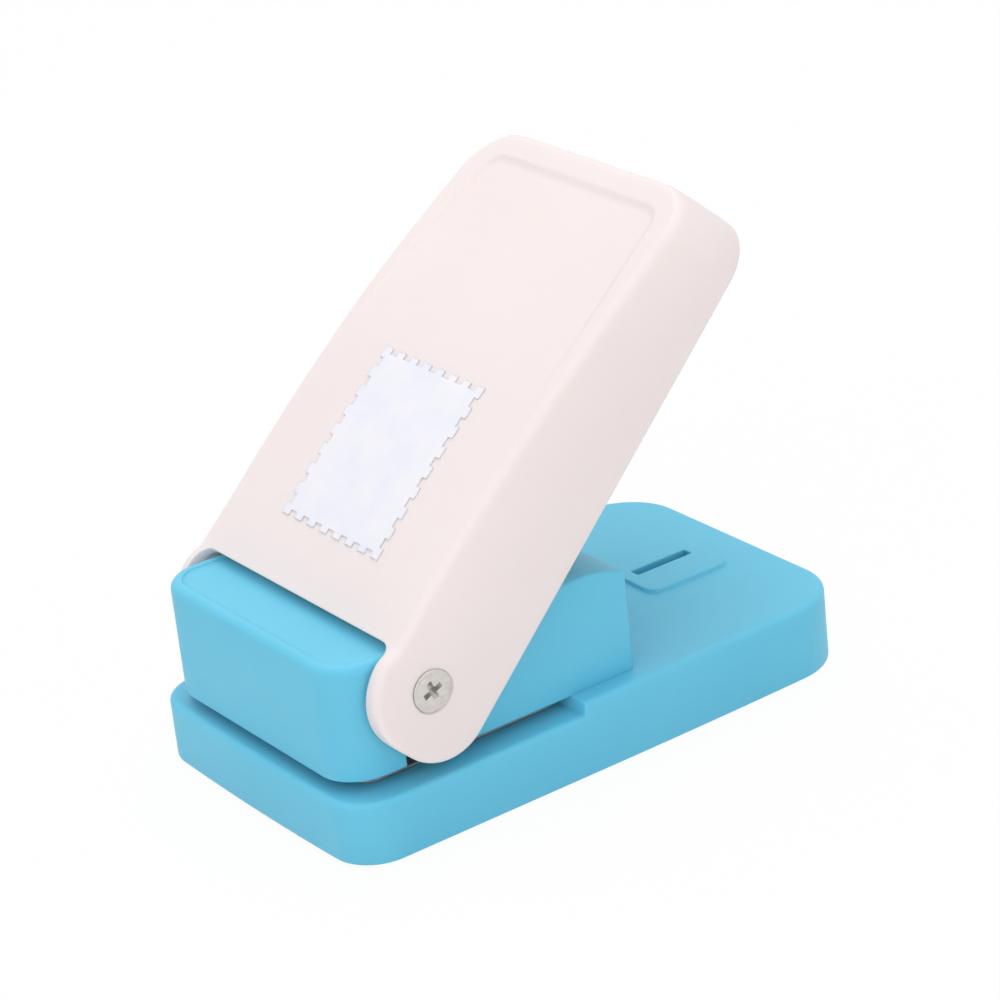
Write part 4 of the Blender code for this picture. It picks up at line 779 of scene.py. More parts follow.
cover = make("moulded_cover", body([level(base_plan(inset), height) for inset, height in COVER_EDGE]))
join(cover, prism(box_outline(*WINDOW, WINDOW_CORNER), *CHUTE_HEIGHTS))
cut(cover, prism(box_outline(*CHUTE_HOLE, WINDOW_CORNER), *CHUTE_CUT),
    *holes(FOOT_RECESS, FEET, RECESS_SIDES), *holes(COVER_BORE, COVER_SCREWS))
settle(cover, "base", blue, ["bottom_cover"])
print("cover:", len(cover.data.polygons), "faces")

# %% [markdown]
# The housing is the tall blue block over the mouth. Its plan has round corners at the front and crisp ones
# behind. The round of its top edge shrinks toward the rear, where the top falls away, and a shallow line
# runs parallel to its front edge.

# %% Housing
HOUSING_FRONT, HOUSING_REAR, HOUSING_HALF = -44.2, 6.7, 24.0
HOUSING_CORNERS = (6.4, 0.7)
HOUSING_LOW, HOUSING_TOP = 11.6, 29.4
HOUSING_FOOT = ((0.3, 0.0), (0.08, 0.08), (0.0, 0.3))
HOUSING_ROUNDS, HOUSING_STEPS = (1.35, 0.45), 8
HOUSING_WALL = 1.8
HOUSING_FALL, FALL_RUN = 2.0, 8.2
HOUSING_ROWS, HOUSING_GRIDS, HOUSING_STEADY = (-37.2, 3.8), (1.2, 1.6), 6.0
CRISP_FROM, CRISP_RUN = -20.0, 22.0
GROOVE = ((1.65, 0.0), (1.78, 0.05), (1.9, 0.3), (2.0, 0.3), (2.3, 0.14))
GROOVE_END, GROOVE_FADE = 2.0, 6.0
PIVOT_Y, PIVOT_Z = -30.7, 23.7
SLOT_RADIUS = 3.3
CAM_WINDOW, CAM_WINDOW_CORNER = (-5.7, 5.7, -32.4, -21.5), 0.4


def housing_plan(inset, behind=None):
    """x and y over the housing's plan, with another inset behind if it is given."""
    stations = lines(*HOUSING_ROWS, HOUSING_GRIDS[0])
    if behind is not None:
        inset = (inset, inset + (behind - inset) * rearward(stations), behind)
    return plain_plan(HOUSING_FRONT, HOUSING_REAR, HOUSING_HALF, HOUSING_CORNERS, stations,
                      HOUSING_GRIDS[1], HOUSING_STEADY, inset)


def rearward(y):
    """0 over the front half, 1 at the rear."""
    return smooth((y - CRISP_FROM) / CRISP_RUN)


def housing_top(y):
    """Level, then falling as the square of the way over the last stretch."""
    return HOUSING_TOP - HOUSING_FALL * np.clip((y - HOUSING_REAR + FALL_RUN) / FALL_RUN, 0, None) ** 2


def housing_sheets():
    """Up the walls, over a top round that shrinks toward the rear, and through the shallow line."""
    grids = [level(housing_plan(inset), HOUSING_LOW + height) for inset, height in HOUSING_FOOT]
    for inset, depth in quarter(1.0, HOUSING_STEPS):
        x, y = housing_plan(inset * HOUSING_ROUNDS[0], inset * HOUSING_ROUNDS[1])
        radius = HOUSING_ROUNDS[0] + (HOUSING_ROUNDS[1] - HOUSING_ROUNDS[0]) * rearward(y)
        grids.append(level((x, y), housing_top(y) - radius * depth))
    for inset, depth in GROOVE:
        x, y = housing_plan(inset)
        grids.append(level((x, y), housing_top(y) - depth * smooth((GROOVE_END - y) / GROOVE_FADE)))
    return body(grids)


def housing_inside():
    x, y = housing_plan(HOUSING_WALL)
    return body([level((x, y), HOUSING_LOW - OVERRUN), level((x, y), housing_top(y) - HOUSING_WALL)])


def slot_outline():
    """Side view of the slot that the pivot's collar sits in: open below, round on top."""
    top = arc((PIVOT_Y, PIVOT_Z), SLOT_RADIUS, 0, 180, 24)
    low = HOUSING_LOW - OVERRUN
    return np.concatenate([top, [(PIVOT_Y - SLOT_RADIUS, low), (PIVOT_Y + SLOT_RADIUS, low)]])


housing = make("moulded_housing", housing_sheets())
cut(housing, housing_inside(),
    prism(slot_outline(), -HOUSING_HALF - OVERRUN, HOUSING_HALF + OVERRUN, 0),
    prism(box_outline(*CAM_WINDOW, CAM_WINDOW_CORNER), PIVOT_Z, HOUSING_TOP + OVERRUN))
settle(housing, "base", blue, ["upper_housing"])
print("housing:", len(housing.data.polygons), "faces")

# %% [markdown]
# The handle is the piece that the hand meets. It is drawn pressed flat, with the pivot at the origin, and
# turned up afterwards. Seen from the side it has two round ears, a gently arched top and a straight end.
# Carrying that side view across the width gives one surface, whose half width leans in toward the top and
# follows a round corner at the free end. The side view shrinks near the flanks, so every edge is soft.

# %% Handle: side view and width
REACH, BELOW, ABOVE, HANDLE_HALF = 79.4, 11.3, 7.67, 28.0
CROWN_Y, CROWN_FALL = 4.3, 8.35
EAR_FRONT, UPPER_EAR, LOWER_EAR = -9.6, 9.0, 8.0
EAR_RISE, EAR_RISE_FROM, EAR_RISE_RUN = 1.0, 3.2, 4.0
EDGE_ROUNDS = {"top": 1.1, "ear": 0.7, "low": 0.35, "end": 1.0}
PANEL_DEEP, PANEL_FROM, PANEL_RUN = 0.55, 38.0, 22.0
PANEL_CORNER, PANEL_END, PANEL_SLOPE = 3.2, 75.6, 1.2
PANEL_ROWS, PANEL_HALVES = [38.0, 46.5, 53.0, 61.7, 70.0, 75.0], [23.7, 23.4, 23.1, 22.3, 21.2, 20.4]
LEAN, LEAN_HEIGHT = 2.3, 11.0
EAR_LEAN, EAR_LEAN_FROM, EAR_LEAN_RUN = 0.9, 14.0, 18.0
END_LEAN, END_LEAN_FROM, END_LEAN_RUN = 0.9, 45.0, 30.0
END_CORNER = 8.2


def crown(y):
    """Arch of the top, falling as the square of the way from its highest point to the end."""
    return ABOVE - CROWN_FALL * ((y - CROWN_Y) / (REACH - CROWN_Y)) ** 2


def top_edge(y):
    """The arch, a little higher over the ears."""
    return crown(y) + EAR_RISE * smooth((EAR_RISE_FROM - y) / EAR_RISE_RUN)


def panel(x, y):
    """Depth of the sunk panel: half a millimetre inside a soft rim, fading out toward the label."""
    half = np.interp(y, PANEL_ROWS, PANEL_HALVES)
    out_x, out_y = np.abs(x) - half + PANEL_CORNER, y - PANEL_END + PANEL_CORNER
    rest = np.hypot(np.maximum(out_x, 0), np.maximum(out_y, 0)) + np.minimum(np.maximum(out_x, out_y), 0)
    fade = smooth((y - PANEL_FROM) / PANEL_RUN)
    return PANEL_DEEP * fade * smooth((PANEL_CORNER - rest) / PANEL_SLOPE)


def handle_half(y, z):
    """Half width, less the lean L (1 - d / h)^2 at the depth d under the top edge, less the round corner
    at the free end, r - sqrt(r^2 - v^2). L is smaller at the ears and larger at the free end."""
    depth = np.clip((top_edge(y) - z) / LEAN_HEIGHT, 0, 1)
    less, more = smooth((EAR_LEAN_FROM - y) / EAR_LEAN_RUN), smooth((y - END_LEAN_FROM) / END_LEAN_RUN)
    lean = (LEAN - EAR_LEAN * less + END_LEAN * more) * (1 - depth) ** 2
    along = np.clip(y - (REACH - END_CORNER), 0, END_CORNER)
    return HANDLE_HALF - lean - (END_CORNER - np.sqrt(END_CORNER ** 2 - along ** 2))


def end_round(beyond, radius):
    """Round at the free end, r - sqrt(r^2 - v^2), where v is how far a point lies in the last r."""
    return radius - np.sqrt(radius ** 2 - np.clip(beyond + radius, 0, radius) ** 2)


print("handle: reaches", REACH, "mm from its pivot and is", 2 * HANDLE_HALF, "mm wide")

# %% [markdown]
# The side view is a grid between a lower and an upper line. Both start at the front of an ear as arcs and
# run to the free end, with the same number of points, and the columns climb from one to the other. They
# lie closer near the top, where the panel's rim needs them.

# %% Handle: sections
ARC_SHARES = np.linspace(0, 1, 15)
TOP_SPAN, TOP_GRID, TOP_EDGES = REACH + 0.6, 0.85, (73.0, 76.6)
CLIMB_COLUMNS, CLIMB_POWER = 14, 1.5
TOP_SKIN, TOP_SKIN_RUN = 1.5, 1.4


def ear_arc(centre, radius, degrees):
    """Points of an arc whose radius and angle change along it."""
    angle = np.radians(degrees)
    return np.stack([centre[0] + radius * np.cos(angle), centre[1] + radius * np.sin(angle)], axis=1)


def side_view(gap):
    """Grid of y and z over the side view, shrunk for a section this far from the flank. Rows run from the
    ears to the free end, columns from the bottom to the top. A round of radius r shrinks it by
    r - sqrt(r^2 - (r - gap)^2)."""
    shrink = {key: r - math.sqrt(r * r - max(r - gap, 0.0) ** 2) for key, r in EDGE_ROUNDS.items()}
    blends = {key: shrink["ear"] + (shrink[key] - shrink["ear"]) * smooth(ARC_SHARES)
              for key in ("top", "low")}
    ear_y = UPPER_EAR + EAR_FRONT
    upper = ear_arc((ear_y, top_edge(ear_y) - UPPER_EAR), UPPER_EAR - blends["top"], 180 - 90 * ARC_SHARES)
    lower = ear_arc((EAR_FRONT + LOWER_EAR, LOWER_EAR - BELOW), LOWER_EAR - blends["low"],
                    180 + 90 * ARC_SHARES)
    along = lines(0.0, TOP_SPAN, TOP_GRID, [*TOP_EDGES, TOP_SPAN])[1:] / TOP_SPAN
    end = REACH - shrink["end"]
    top_y = ear_y + along * (end - ear_y)
    low_y = lower[-1, 0] + along * (end - lower[-1, 0])
    top_z = top_edge(top_y) - shrink["top"] - end_round(top_y - end, EDGE_ROUNDS["top"])
    low_z = shrink["low"] - BELOW + end_round(low_y - end, EDGE_ROUNDS["low"])
    upper = np.concatenate([upper, np.stack([top_y, top_z], axis=1)])
    lower = np.concatenate([lower, np.stack([low_y, low_z], axis=1)])
    climb = (1 - (1 - np.linspace(0, 1, CLIMB_COLUMNS)) ** CLIMB_POWER)[None, :, None]
    return lower[:, None] + (upper - lower)[:, None] * climb


def handle_section(gap, share):
    """The side view carried to x = share * (half width - gap)."""
    y, z = np.moveaxis(side_view(gap), -1, 0)
    x = share * (handle_half(y, z) - gap)
    on_top = smooth((z - top_edge(y) + TOP_SKIN) / TOP_SKIN_RUN)
    return np.stack([x, y, z - panel(x, y) * on_top], axis=-1)


print("side view:", side_view(0.0).shape[0], "rows of", CLIMB_COLUMNS, "points")

# %% [markdown]
# The sections are stacked from one flank to the other, close together over the rounds and the panel's rim.
# Inside, a plan grid like the base's is cut out, which leaves a top wall of even thickness.

# %% Handle: body
EDGE_GAPS = [0.0, 0.02, 0.07, 0.16, 0.3, 0.5, 0.75, EDGE_ROUNDS["top"]]
INNER_SHARES = np.concatenate([np.linspace(0.0, 0.68, 15), np.linspace(0.7, 1.0, 27)[:-1]])
EAR_INNER = 24.6
INSIDE_FRONT, INSIDE_REAR, INSIDE_CORNERS, INSIDE_ROUND = -14.0, 77.0, (0.5, 5.8), 2.2
INSIDE_ROWS, INSIDE_GRIDS, INSIDE_STEADY = (-13.0, 70.9), (3.0, 4.0), 6.0
TOP_WALL, SINK_FROM, SINK_RUN = 1.5, 42.0, 28.0


def handle_sheets():
    """Sections at growing gaps from the left flank, at shares of the width between, and back out again."""
    left = [handle_section(gap, -1.0) for gap in EDGE_GAPS]
    middle = [handle_section(EDGE_GAPS[-1], share)
              for share in np.concatenate([-INNER_SHARES[:0:-1], INNER_SHARES])]
    right = [handle_section(gap, 1.0) for gap in reversed(EDGE_GAPS)]
    return body(left + middle + right)


def wall_height(y, depth):
    """Height at a depth under the top, which sinks by up to 1 mm under the panel."""
    return crown(y) - smooth((y - SINK_FROM) / SINK_RUN) - depth


def handle_inside():
    """Plan grids up to the top wall, with a quarter round where the walls meet it."""
    def plan(inset):
        corners = (INSIDE_CORNERS[0] + inset, INSIDE_CORNERS[1])
        return plain_plan(INSIDE_FRONT, INSIDE_REAR, EAR_INNER, corners,
                          lines(*INSIDE_ROWS, INSIDE_GRIDS[0]), INSIDE_GRIDS[1], INSIDE_STEADY, inset)

    grids = [level(plan(0.0), -BELOW - OVERRUN)]
    for inset, depth in quarter(INSIDE_ROUND):
        x, y = plan(inset)
        grids.append(level((x, y), wall_height(y, TOP_WALL) - depth))
    return body(grids)


handle = make("moulded_handle", handle_sheets())
cut(handle, handle_inside())
print("handle shell:", len(handle.data.polygons), "faces")

# %% [markdown]
# Two cams press the punch down. A cam's flank is an involute, the curve that a taut thread's end draws, so
# that it rolls on the pad always at the same distance behind the pivot. Ribs stiffen the top wall, and a
# tongue on its own rib drops into the base's slit.

# %% Handle: cams, ribs and tongue
REST, PRESSED = math.radians(46.0), math.radians(2.0)
CAM_RADIUS, CAM_REST_DROP, CAM_STEPS = 4.7, 1.2, 24
CAM_SIDES, CAM_BACK = (2.5, 5.0), 8.5
CAM_FRONT = [(2.6, 1.5), (2.6, -2.0)]
CAM_ROOT, CAM_SHOULDER, CAM_HEEL = 3.9, 1.5, (0.9, 0.45)
RIB_ENDS, RIB_POINTS, RIB_X, RIB_HALF, RIB_DEEP = (40.3, 78.2), 12, 10.0, 0.8, 5.25
CROSS_RIBS, CROSS_RIB_HALF = (41.0, 53.2, 65.5), 24.8
STEM_ROOT, STEM_FOOT, STEM_RISE, STEM_SIDES = (56.9, 64.6), (57.5, 64.0), 1.0, (-2.1, 0.5)
TONGUE, TONGUE_CORNER, TONGUE_RISE, TONGUE_DROP = (-1.35, -0.25, 57.8, 63.7), 0.3, 1.6, 4.1


def wall_middle(y):
    """Height in the middle of the top wall."""
    return wall_height(y, TOP_WALL / 2)


def cam_outline():
    """Side view of a cam. Its flank is an involute of radius r: at a tilt a it touches the pad r behind
    the pivot, at a drop that grows by r for each radian, so y = r cos a - drop sin a and
    z = -r sin a - drop cos a."""
    tilt = np.linspace(REST, PRESSED, CAM_STEPS + 1)
    drop = CAM_REST_DROP + CAM_RADIUS * (REST - tilt)
    flank = np.stack([CAM_RADIUS * np.cos(tilt) - drop * np.sin(tilt),
                      -CAM_RADIUS * np.sin(tilt) - drop * np.cos(tilt)], axis=1)
    end_y, end_z = flank[-1]
    heel = [(end_y + CAM_HEEL[0], end_z + CAM_HEEL[1]), ((end_y + CAM_BACK) / 2 + CAM_HEEL[1], end_z / 2)]
    return np.concatenate([[(CAM_ROOT, wall_middle(CAM_ROOT))], CAM_FRONT, flank, heel,
                           [(CAM_BACK, CAM_SHOULDER), (CAM_BACK, wall_middle(CAM_BACK))]])


def inner_parts():
    """Cams, lengthwise ribs, cross ribs and the tongue on its rib."""
    y = np.linspace(*RIB_ENDS, RIB_POINTS)
    rib = np.concatenate([np.stack([y, wall_middle(y)], 1),
                          np.stack([y, wall_middle(y) - RIB_DEEP], 1)[::-1]])
    parts = []
    for side in (-1, 1):
        parts.append(prism(cam_outline(), *sorted(side * x for x in CAM_SIDES), 0))
        parts.append(prism(rib, side * RIB_X - RIB_HALF, side * RIB_X + RIB_HALF, 0))
    for y in CROSS_RIBS:
        top = float(wall_middle(y))
        parts.append(prism(box_outline(-CROSS_RIB_HALF, CROSS_RIB_HALF, y - RIB_HALF, y + RIB_HALF),
                           top - RIB_DEEP, top))
    stem = ([(y, STEM_RISE - BELOW) for y in STEM_FOOT]
            + [(y, float(wall_middle(y))) for y in reversed(STEM_ROOT)])
    parts.append(prism(stem, *STEM_SIDES, 0))
    parts.append(prism(box_outline(*TONGUE, TONGUE_CORNER), -BELOW - TONGUE_DROP, TONGUE_RISE - BELOW))
    return parts


# %% [markdown]
# The mouth where the housing stands is cut in two steps, because its upper corners are rounder than the
# lower ones. Last come the countersunk bores for the pivot screws, and the handle is turned up to rest.

# %% Handle: mouth, bores and place
MOUTH_FRONT, MOUTH_BACK = -20.0, 2.6
MOUTH_CUTS = ((0.5, -10.0, 6.4), (2.2, 6.3, 12.0))
PIVOT_BORE, BORE_SIDES = [(3.42, 29.0), (3.42, 27.88), (1.3, 25.8), (1.3, 23.0)], 64
RAISED = Matrix.Translation((0.0, PIVOT_Y, PIVOT_Z + FOOT_PROUD)) @ Matrix.Rotation(REST, 4, "X")

cut(handle, *[prism(box_outline(-EAR_INNER, EAR_INNER, MOUTH_FRONT, MOUTH_BACK, corner), low, high)
              for corner, low, high in MOUTH_CUTS])
join(handle, *inner_parts())
cut(handle, *[turned([(radius, side * x) for radius, x in PIVOT_BORE], BORE_SIDES, 0)
              for side in (-1, 1)])
settle(handle, "handle", pink, ["handle_shell"], RAISED)
print("handle:", len(handle.data.polygons), "faces")

# %% [markdown]
# The label is a thin silver-white film that shows the stamp's own outline. Its outline is made of square
# steps, so it is a sheet of cells: grid lines at every notch, and a cell is there or not. Walls stand where
# a cell that is there meets one that isn't.

# %% Label
LABEL_HALF = (12.4, 14.4)
CORNER_TOOTH = 0.9
LABEL_MIDDLE = 26.6
LABEL_THICK, LABEL_LIFT = 0.14, 0.01


def notch_middles(half, count):
    """Middles of the notches along a side, evenly between its corner teeth."""
    return (half - CORNER_TOOTH) * ((2 * np.arange(count) + 1) / count - 1)


def notch_lines(half, count):
    """Both sides of every notch along a side, and the notch depth at its ends."""
    middle = notch_middles(half, count)
    return np.concatenate([[-half, NOTCH_DEEP - half, half - NOTCH_DEEP, half],
                           middle - NOTCH_WIDE / 2, middle + NOTCH_WIDE / 2])


def in_notch(value, half, count):
    """True where a value along a side lies in a notch."""
    return np.abs(value[..., None] - notch_middles(half, count)).min(axis=-1) < NOTCH_WIDE / 2


def label_sheets():
    """Cells that are there on both faces, the upper one a film's thickness higher, and walls between."""
    xs, ys = (np.unique(np.round(notch_lines(half, count), 4)) for half, count in zip(LABEL_HALF, NOTCHES))
    x, y = np.meshgrid((xs[1:] + xs[:-1]) / 2, (ys[1:] + ys[:-1]) / 2, indexing="ij")
    end = (np.abs(y) > LABEL_HALF[1] - NOTCH_DEEP) & in_notch(x, LABEL_HALF[0], NOTCHES[0])
    side = (np.abs(x) > LABEL_HALF[0] - NOTCH_DEEP) & in_notch(y, LABEL_HALF[1], NOTCHES[1])
    there = np.pad(~(end | side), 1)
    gx, gy = np.meshgrid(xs, ys, indexing="ij")
    height = crown(gy + LABEL_MIDDLE)
    points = np.concatenate([np.stack([gx, gy + LABEL_MIDDLE, height + lift], -1).reshape(-1, 3)
                             for lift in (LABEL_LIFT + LABEL_THICK, LABEL_LIFT)])
    count, cols = gx.size, len(ys)
    top = quads(len(xs), cols)[there[1:-1, 1:-1].ravel()]
    faces = [top, top[:, ::-1] + count]
    for edge, onward in ((there[1:, 1:-1] != there[:-1, 1:-1], 1),
                         (there[1:-1, 1:] != there[1:-1, :-1], cols)):
        row, col = np.nonzero(edge)
        start = row * cols + col
        faces.append(np.stack([start, start + onward, start + onward + count, start + count], axis=1))
    return [(points, np.concatenate(faces))]


def silver_film():
    """Silver-white film with fine slanting lines, clouds of blue and lilac, and grey mixed in along its
    sharp edges.
    """
    look = Finish("silver white film")
    place = look.add("ShaderNodeUVMap", {"uv_map": "film"}).outputs[0]
    slanted = look.stretched(place, (1.0, 1.0, 1.0), (0.0, 0.0, 0.5))
    wave = look.add("ShaderNodeTexWave", {"bands_direction": "DIAGONAL", "wave_profile": "SIN"},
                    {"Vector": slanted, "Scale": 1.15, "Distortion": 0.4})
    line = Flow(look, wave.outputs["Fac"])
    cloud = look.noise(place, 0.14, 3.0).within(0.35, 0.65)
    fine = look.noise(look.stretched(place, (1.0, 6.0, 1.0), (0.0, 0.0, 0.8)), 2.0, 3.0)
    rounded, edge = edge_mask(look, 0.00022)
    tone = look.mix(cloud, screen_colour(229, 231, 242), screen_colour(238, 236, 242))
    tone = look.mix(line * fine * 0.5, tone, screen_colour(247, 247, 252))
    tone = look.mix(edge.within(0.15, 0.8) * 0.5, tone, screen_colour(176, 172, 182))
    bump = look.relief(0.35, 0.00002, line + fine * 0.5, rounded)
    look.shade(Base_Color=tone, Roughness=0.3 + fine * 0.15, Metallic=0.12, Normal=bump)
    return look


def give_uv(item, name):
    """UV map of the piece's own x and y, in millimetres."""
    count = len(item.data.vertices)
    places = np.empty(count * 3, np.float32)
    item.data.vertices.foreach_get("co", places)
    corners = np.empty(len(item.data.loops), np.int32)
    item.data.loops.foreach_get("vertex_index", corners)
    layer = item.data.uv_layers.new(name=name)
    layer.data.foreach_set("uv", places.reshape(-1, 3)[corners, :2].ravel())


label = make("notched_label", label_sheets())
give_uv(label, "film")
settle(label, "handle", silver_film(), ["stamp_label"], RAISED, 20.0)
print("label:", len(label.data.polygons), "faces")

# %% [markdown]
# Screws are turned profiles with a cross recess cut into the head. The recess tapers as it deepens, as a
# real driver's tip does, so it is a cross outline that shrinks from the face down.


# %% Screws
SCREW_SHARP = 25.0
TAPER = ((1.1, 1.1, 0.3, 0.0), (1.0, 1.0, 0.0, 0.0), (0.8, 0.8, 0.0, 0.45), (0.42, 0.7, 0.0, 1.0))
PIVOT_PROFILE = [(0.95, -10.0), (0.95, -2.05), (3.05, -0.2), (3.2, -0.12), (3.2, -0.05), (3.13, 0.0)]
PIVOT_RECESS, PIVOT_TURN, PIVOT_SEAT, PIVOT_SIDES = (3.2, 0.9, 1.3), 66.0, 27.9, 72


def cross(span, wide):
    """Outline of a cross."""
    a, b = span / 2, wide / 2
    return np.array([(a, -b), (a, b), (b, b), (b, a), (-b, a), (-b, b),
                     (-a, b), (-a, -b), (-b, -b), (-b, -a), (b, -a), (b, -b)])


def recess(span, wide, deep, degrees):
    """Sheets of a tapering cross that points down from z = 0. Each row of TAPER has the shares of the
    span and the width, a height over the face, and a share of the depth."""
    angle = math.radians(degrees)
    spin = np.array([[math.cos(angle), math.sin(angle)], [-math.sin(angle), math.cos(angle)]])
    return capped(np.stack([np.insert(cross(span * a, wide * b) @ spin, 2, over - deep * share, axis=1)
                            for a, b, over, share in TAPER]))


def make_screw(name, profile, span, wide, deep, degrees, sides):
    """Screw whose head faces up at z = 0."""
    screw = make(name, turned(profile, sides))
    return cut(screw, recess(span, wide, deep, degrees))


def facing(x, y, z, degrees, axis):
    """Place of a screw, turned so that its head faces along another axis."""
    return Matrix.Translation((x, y, z)) @ Matrix.Rotation(math.radians(degrees), 4, axis)


HANDS = ((1, "right"), (-1, "left"))
for side, name in HANDS:
    screw = make_screw("brushed_pivot_screw_" + name, PIVOT_PROFILE, *PIVOT_RECESS, PIVOT_TURN, PIVOT_SIDES)
    settle(screw, "handle", screw_steel, ["pivot_screw_" + name],
           RAISED @ facing(side * PIVOT_SEAT, 0.0, 0.0, side * 90, "Y"), SCREW_SHARP)
print("pivot screws sit", PIVOT_SEAT, "mm from the middle")

# %% [markdown]
# The small screws share three profiles: sunk heads in the die and the guide, flat heads in the cover and
# the punch holder, and two long ones up into the housing. One loop makes them all. Each takes its place
# from its node's box and is turned by its own angle, as a hand would leave it.

# %% Small screws
SUNK = [(0.85, -4.8), (0.9, -0.95), (1.72, -0.06), (1.78, 0.0)]
FLAT = [(0.9, -4.5), (0.9, -0.9), (1.75, -0.9), (1.8, -0.85), (1.8, -0.12), (1.68, 0.0)]
LONG = [(1.25, -20.6), (1.25, -1.5), (2.45, -1.5), (2.5, -1.42), (2.5, -0.2), (2.3, 0.0)]
SIDES = ("left", "right")
CORNERS = ("front_left", "rear_left", "front_right", "rear_right")
UPWARD, DOWNWARD = 0, 180
SCREW_GROUPS = [("die_screw", SUNK, CORNERS, UPWARD, "base"),
                ("guide_screw", SUNK, SIDES, DOWNWARD, "base"),
                ("cover_screw", FLAT, CORNERS, DOWNWARD, "base"),
                ("punch_screw", FLAT, CORNERS, UPWARD, "punch"),
                ("housing_screw", LONG, SIDES, DOWNWARD, "base")]
RECESS_SHARES, RECESS_DEEP = (1.2, 0.32), 0.6
FIRST_TURN, NEXT_TURN = 12.0, 37.0


def node_box(node):
    """Low and high corner of a node's box, in millimetres."""
    return (np.array(corner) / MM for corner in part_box(node))


for group, profile, ends, flip, rides in SCREW_GROUPS:
    span, wide = (profile[-1][0] * share for share in RECESS_SHARES)
    for number, end in enumerate(ends):
        node = group + "_" + end
        low, high = node_box(node)
        middle = (low + high) / 2
        head = high[2] if flip == UPWARD else low[2]
        screw = make_screw("crossed_" + node, profile, span, wide, RECESS_DEEP,
                           NEXT_TURN * number + FIRST_TURN, HOLE_SIDES)
        settle(screw, rides, screw_steel, [node],
               facing(middle[0], middle[1], head, flip, "X"), SCREW_SHARP)
print("small screws:", sum(len(group[2]) for group in SCREW_GROUPS))

# %% [markdown]
# Rubber feet are turned discs. The sole has shallow rings, which keep the punch from sliding, and a small
# round at its edge.

# %% Feet
FOOT_PROFILE = [(4.45, 0.8), (4.5, 0.7), (4.5, -0.3), (4.42, -0.42), (4.25, -0.5), (3.7, -0.5),
                (3.6, -0.36), (3.3, -0.36), (3.2, -0.5), (2.5, -0.5), (2.4, -0.36), (2.1, -0.36),
                (2.0, -0.5), (1.2, -0.5), (1.1, -0.4)]
FOOT_SIDES = 64
for where, (x, y) in zip(CORNERS, FEET):
    foot = make("ringed_foot_" + where, turned(FOOT_PROFILE, FOOT_SIDES, centre=(x, y, 0.0)))
    settle(foot, "base", rubber, ["rubber_foot_" + where])
print("feet:", len(FEET))

# %% [markdown]
# A return spring is one wire wound as a helix. Its end turns lie flat and close, so that it stands
# straight, and the pitch opens between them. The wire is a circle carried along that path. It shortens
# with the punch.

# %% Springs
SPRING_X, SPRING_LOW, SPRING_HIGH = 16.3, 14.8, 24.8
SPRING_RADIUS, WIRE, WIRE_SIDES = 2.1, 0.3, 12
SPRING_TURNS, TURN_STEPS, CLOSE_PITCH = 8, 40, 2.2 * WIRE


def spring_sheets(x, y):
    """Tube along (R cos a, R sin a, h(a)): h climbs one wire on each end turn, and evenly between."""
    angle = np.linspace(0, 2 * np.pi * SPRING_TURNS, SPRING_TURNS * TURN_STEPS + 1)
    share = angle / angle[-1]
    flat = 1.0 / SPRING_TURNS
    rise = SPRING_HIGH - SPRING_LOW - 2 * WIRE
    climb = np.interp(share, [0, flat, 1 - flat, 1], [0, CLOSE_PITCH, rise - CLOSE_PITCH, rise])
    path = np.stack([SPRING_RADIUS * np.cos(angle), SPRING_RADIUS * np.sin(angle),
                     SPRING_LOW + WIRE + climb], 1)
    along = np.gradient(path, axis=0)
    along /= np.linalg.norm(along, axis=1, keepdims=True)
    out = np.stack([np.cos(angle), np.sin(angle), np.zeros_like(angle)], 1)
    side = np.cross(along, out)
    turn = np.linspace(0, 2 * np.pi, WIRE_SIDES, endpoint=False)
    tube = (path[:, None] + WIRE * (np.cos(turn)[None, :, None] * out[:, None]
                                    + np.sin(turn)[None, :, None] * side[:, None]))
    return capped(tube + np.array([x, y, 0.0]))


for side, name in HANDS:
    spring = make("wound_spring_" + name, spring_sheets(side * SPRING_X, STAMP_Y))
    settle(spring, "base", wire_steel, ["return_spring_" + name], sharp=60.0)
    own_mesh(spring)
print("springs:", SPRING_TURNS, "turns of", 2 * WIRE, "mm wire")

# %% [markdown]
# The shaft, its collars and the guide pins are turned parts. Their nodes have few sides, so rounder ones
# stand for them, with small chamfers at their ends.

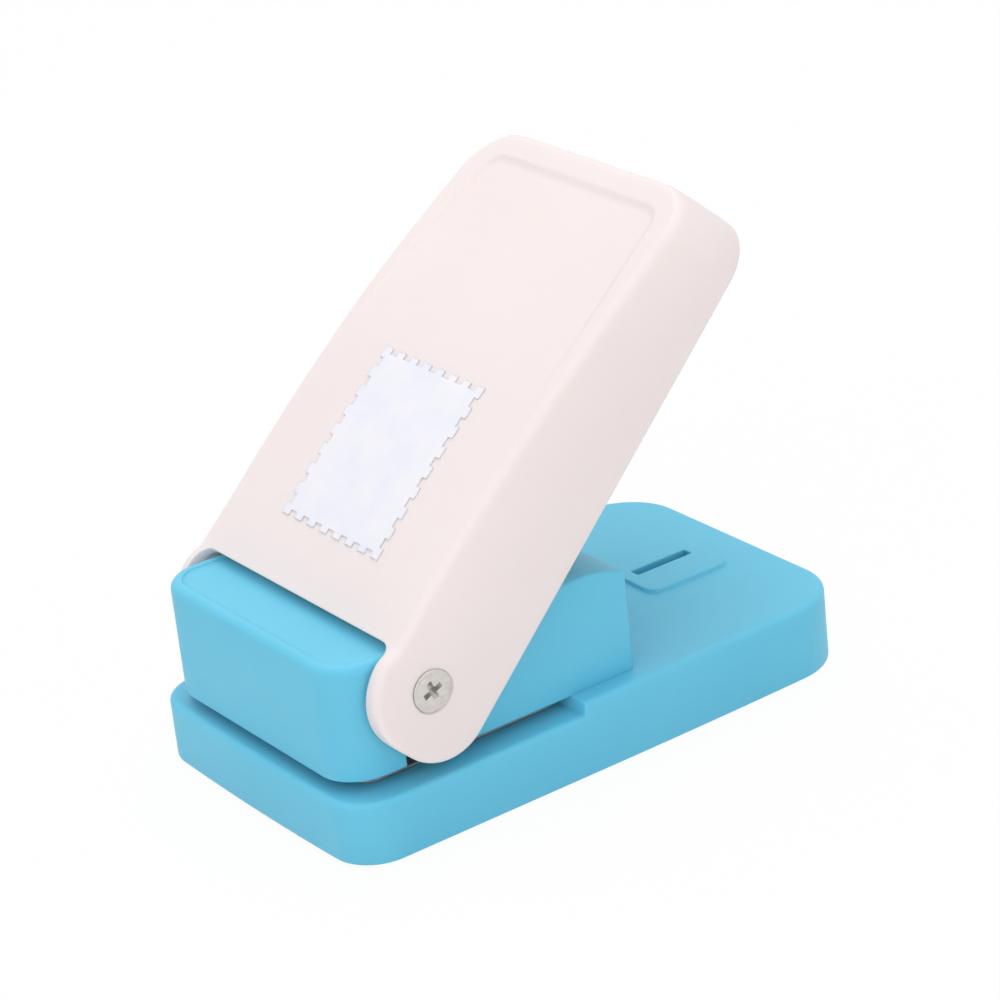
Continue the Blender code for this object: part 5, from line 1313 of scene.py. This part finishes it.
# %% Turned parts
AT_PIVOT = Matrix.Translation((0.0, PIVOT_Y, PIVOT_Z + FOOT_PROUD))
SHAFT = [(1.35, -24.3), (1.8, -24.3), (2.0, -24.1), (2.0, 24.1), (1.8, 24.3), (1.35, 24.3)]
COLLAR_OUTER, COLLAR_INNER, CHAMFER = 3.0, 2.3, 0.2
PIN_FLANGE = 13.6 + FOOT_PROUD
RING_SIDES, PIN_SIDES = 64, 48


def hollow(profile):
    """Sheets of a closed profile turned round X."""
    rings = revolve(profile, RING_SIDES, 0)
    return [(np.concatenate([rings, rings[:1]]).reshape(-1, 3), quads(len(rings) + 1, RING_SIDES, True))]


def collar_profile(low, high):
    """Ring with chamfered outer edges, as radius and place along the axis."""
    return [(COLLAR_INNER, low), (COLLAR_OUTER - CHAMFER, low), (COLLAR_OUTER, low + CHAMFER),
            (COLLAR_OUTER, high - CHAMFER), (COLLAR_OUTER - CHAMFER, high), (COLLAR_INNER, high)]


def pin_profile(low, high):
    """Pin with a chamfered foot, a flange on the guide's floor and a rounded head."""
    return [(1.0, low), (1.2, low + CHAMFER), (1.2, PIN_FLANGE), (2.0, PIN_FLANGE),
            (2.0, PIN_FLANGE + 0.5), (1.9, PIN_FLANGE + 0.6), (1.2, PIN_FLANGE + 0.6), (1.2, high - 0.5),
            (0.8, high)]


shaft = make("turned_shaft", hollow(SHAFT))
settle(shaft, "handle", shaft_steel, ["pivot_shaft"], AT_PIVOT)
for side, name in HANDS:
    low, high = node_box("pivot_collar_" + name)
    collar = make("turned_collar_" + name, hollow(collar_profile(low[0], high[0])))
    settle(collar, "base", nylon, ["pivot_collar_" + name], AT_PIVOT)
    low, high = node_box("guide_pin_" + name)
    middle = (low + high) / 2
    pin = make("turned_pin_" + name, turned(pin_profile(low[2], high[2]), PIN_SIDES,
                                            centre=(middle[0], middle[1], 0.0)))
    settle(pin, "base", shaft_steel, ["guide_pin_" + name], Matrix.Identity(4))
print("shaft, two collars and two pins")

# %% [markdown]
# The other pieces inside keep their nodes, whose shapes are right: the guide, the punch, its holder and the
# press pad. They only take a finish.

# %% Finishes of the kept nodes
KEPT = {"guide_frame": ground, "punch_blade": ground, "press_pad": screw_steel, "punch_holder": nylon}
for name, look in KEPT.items():
    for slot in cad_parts[name].material_slots:
        slot.material = look.holder
print("finished nodes:", ", ".join(KEPT))
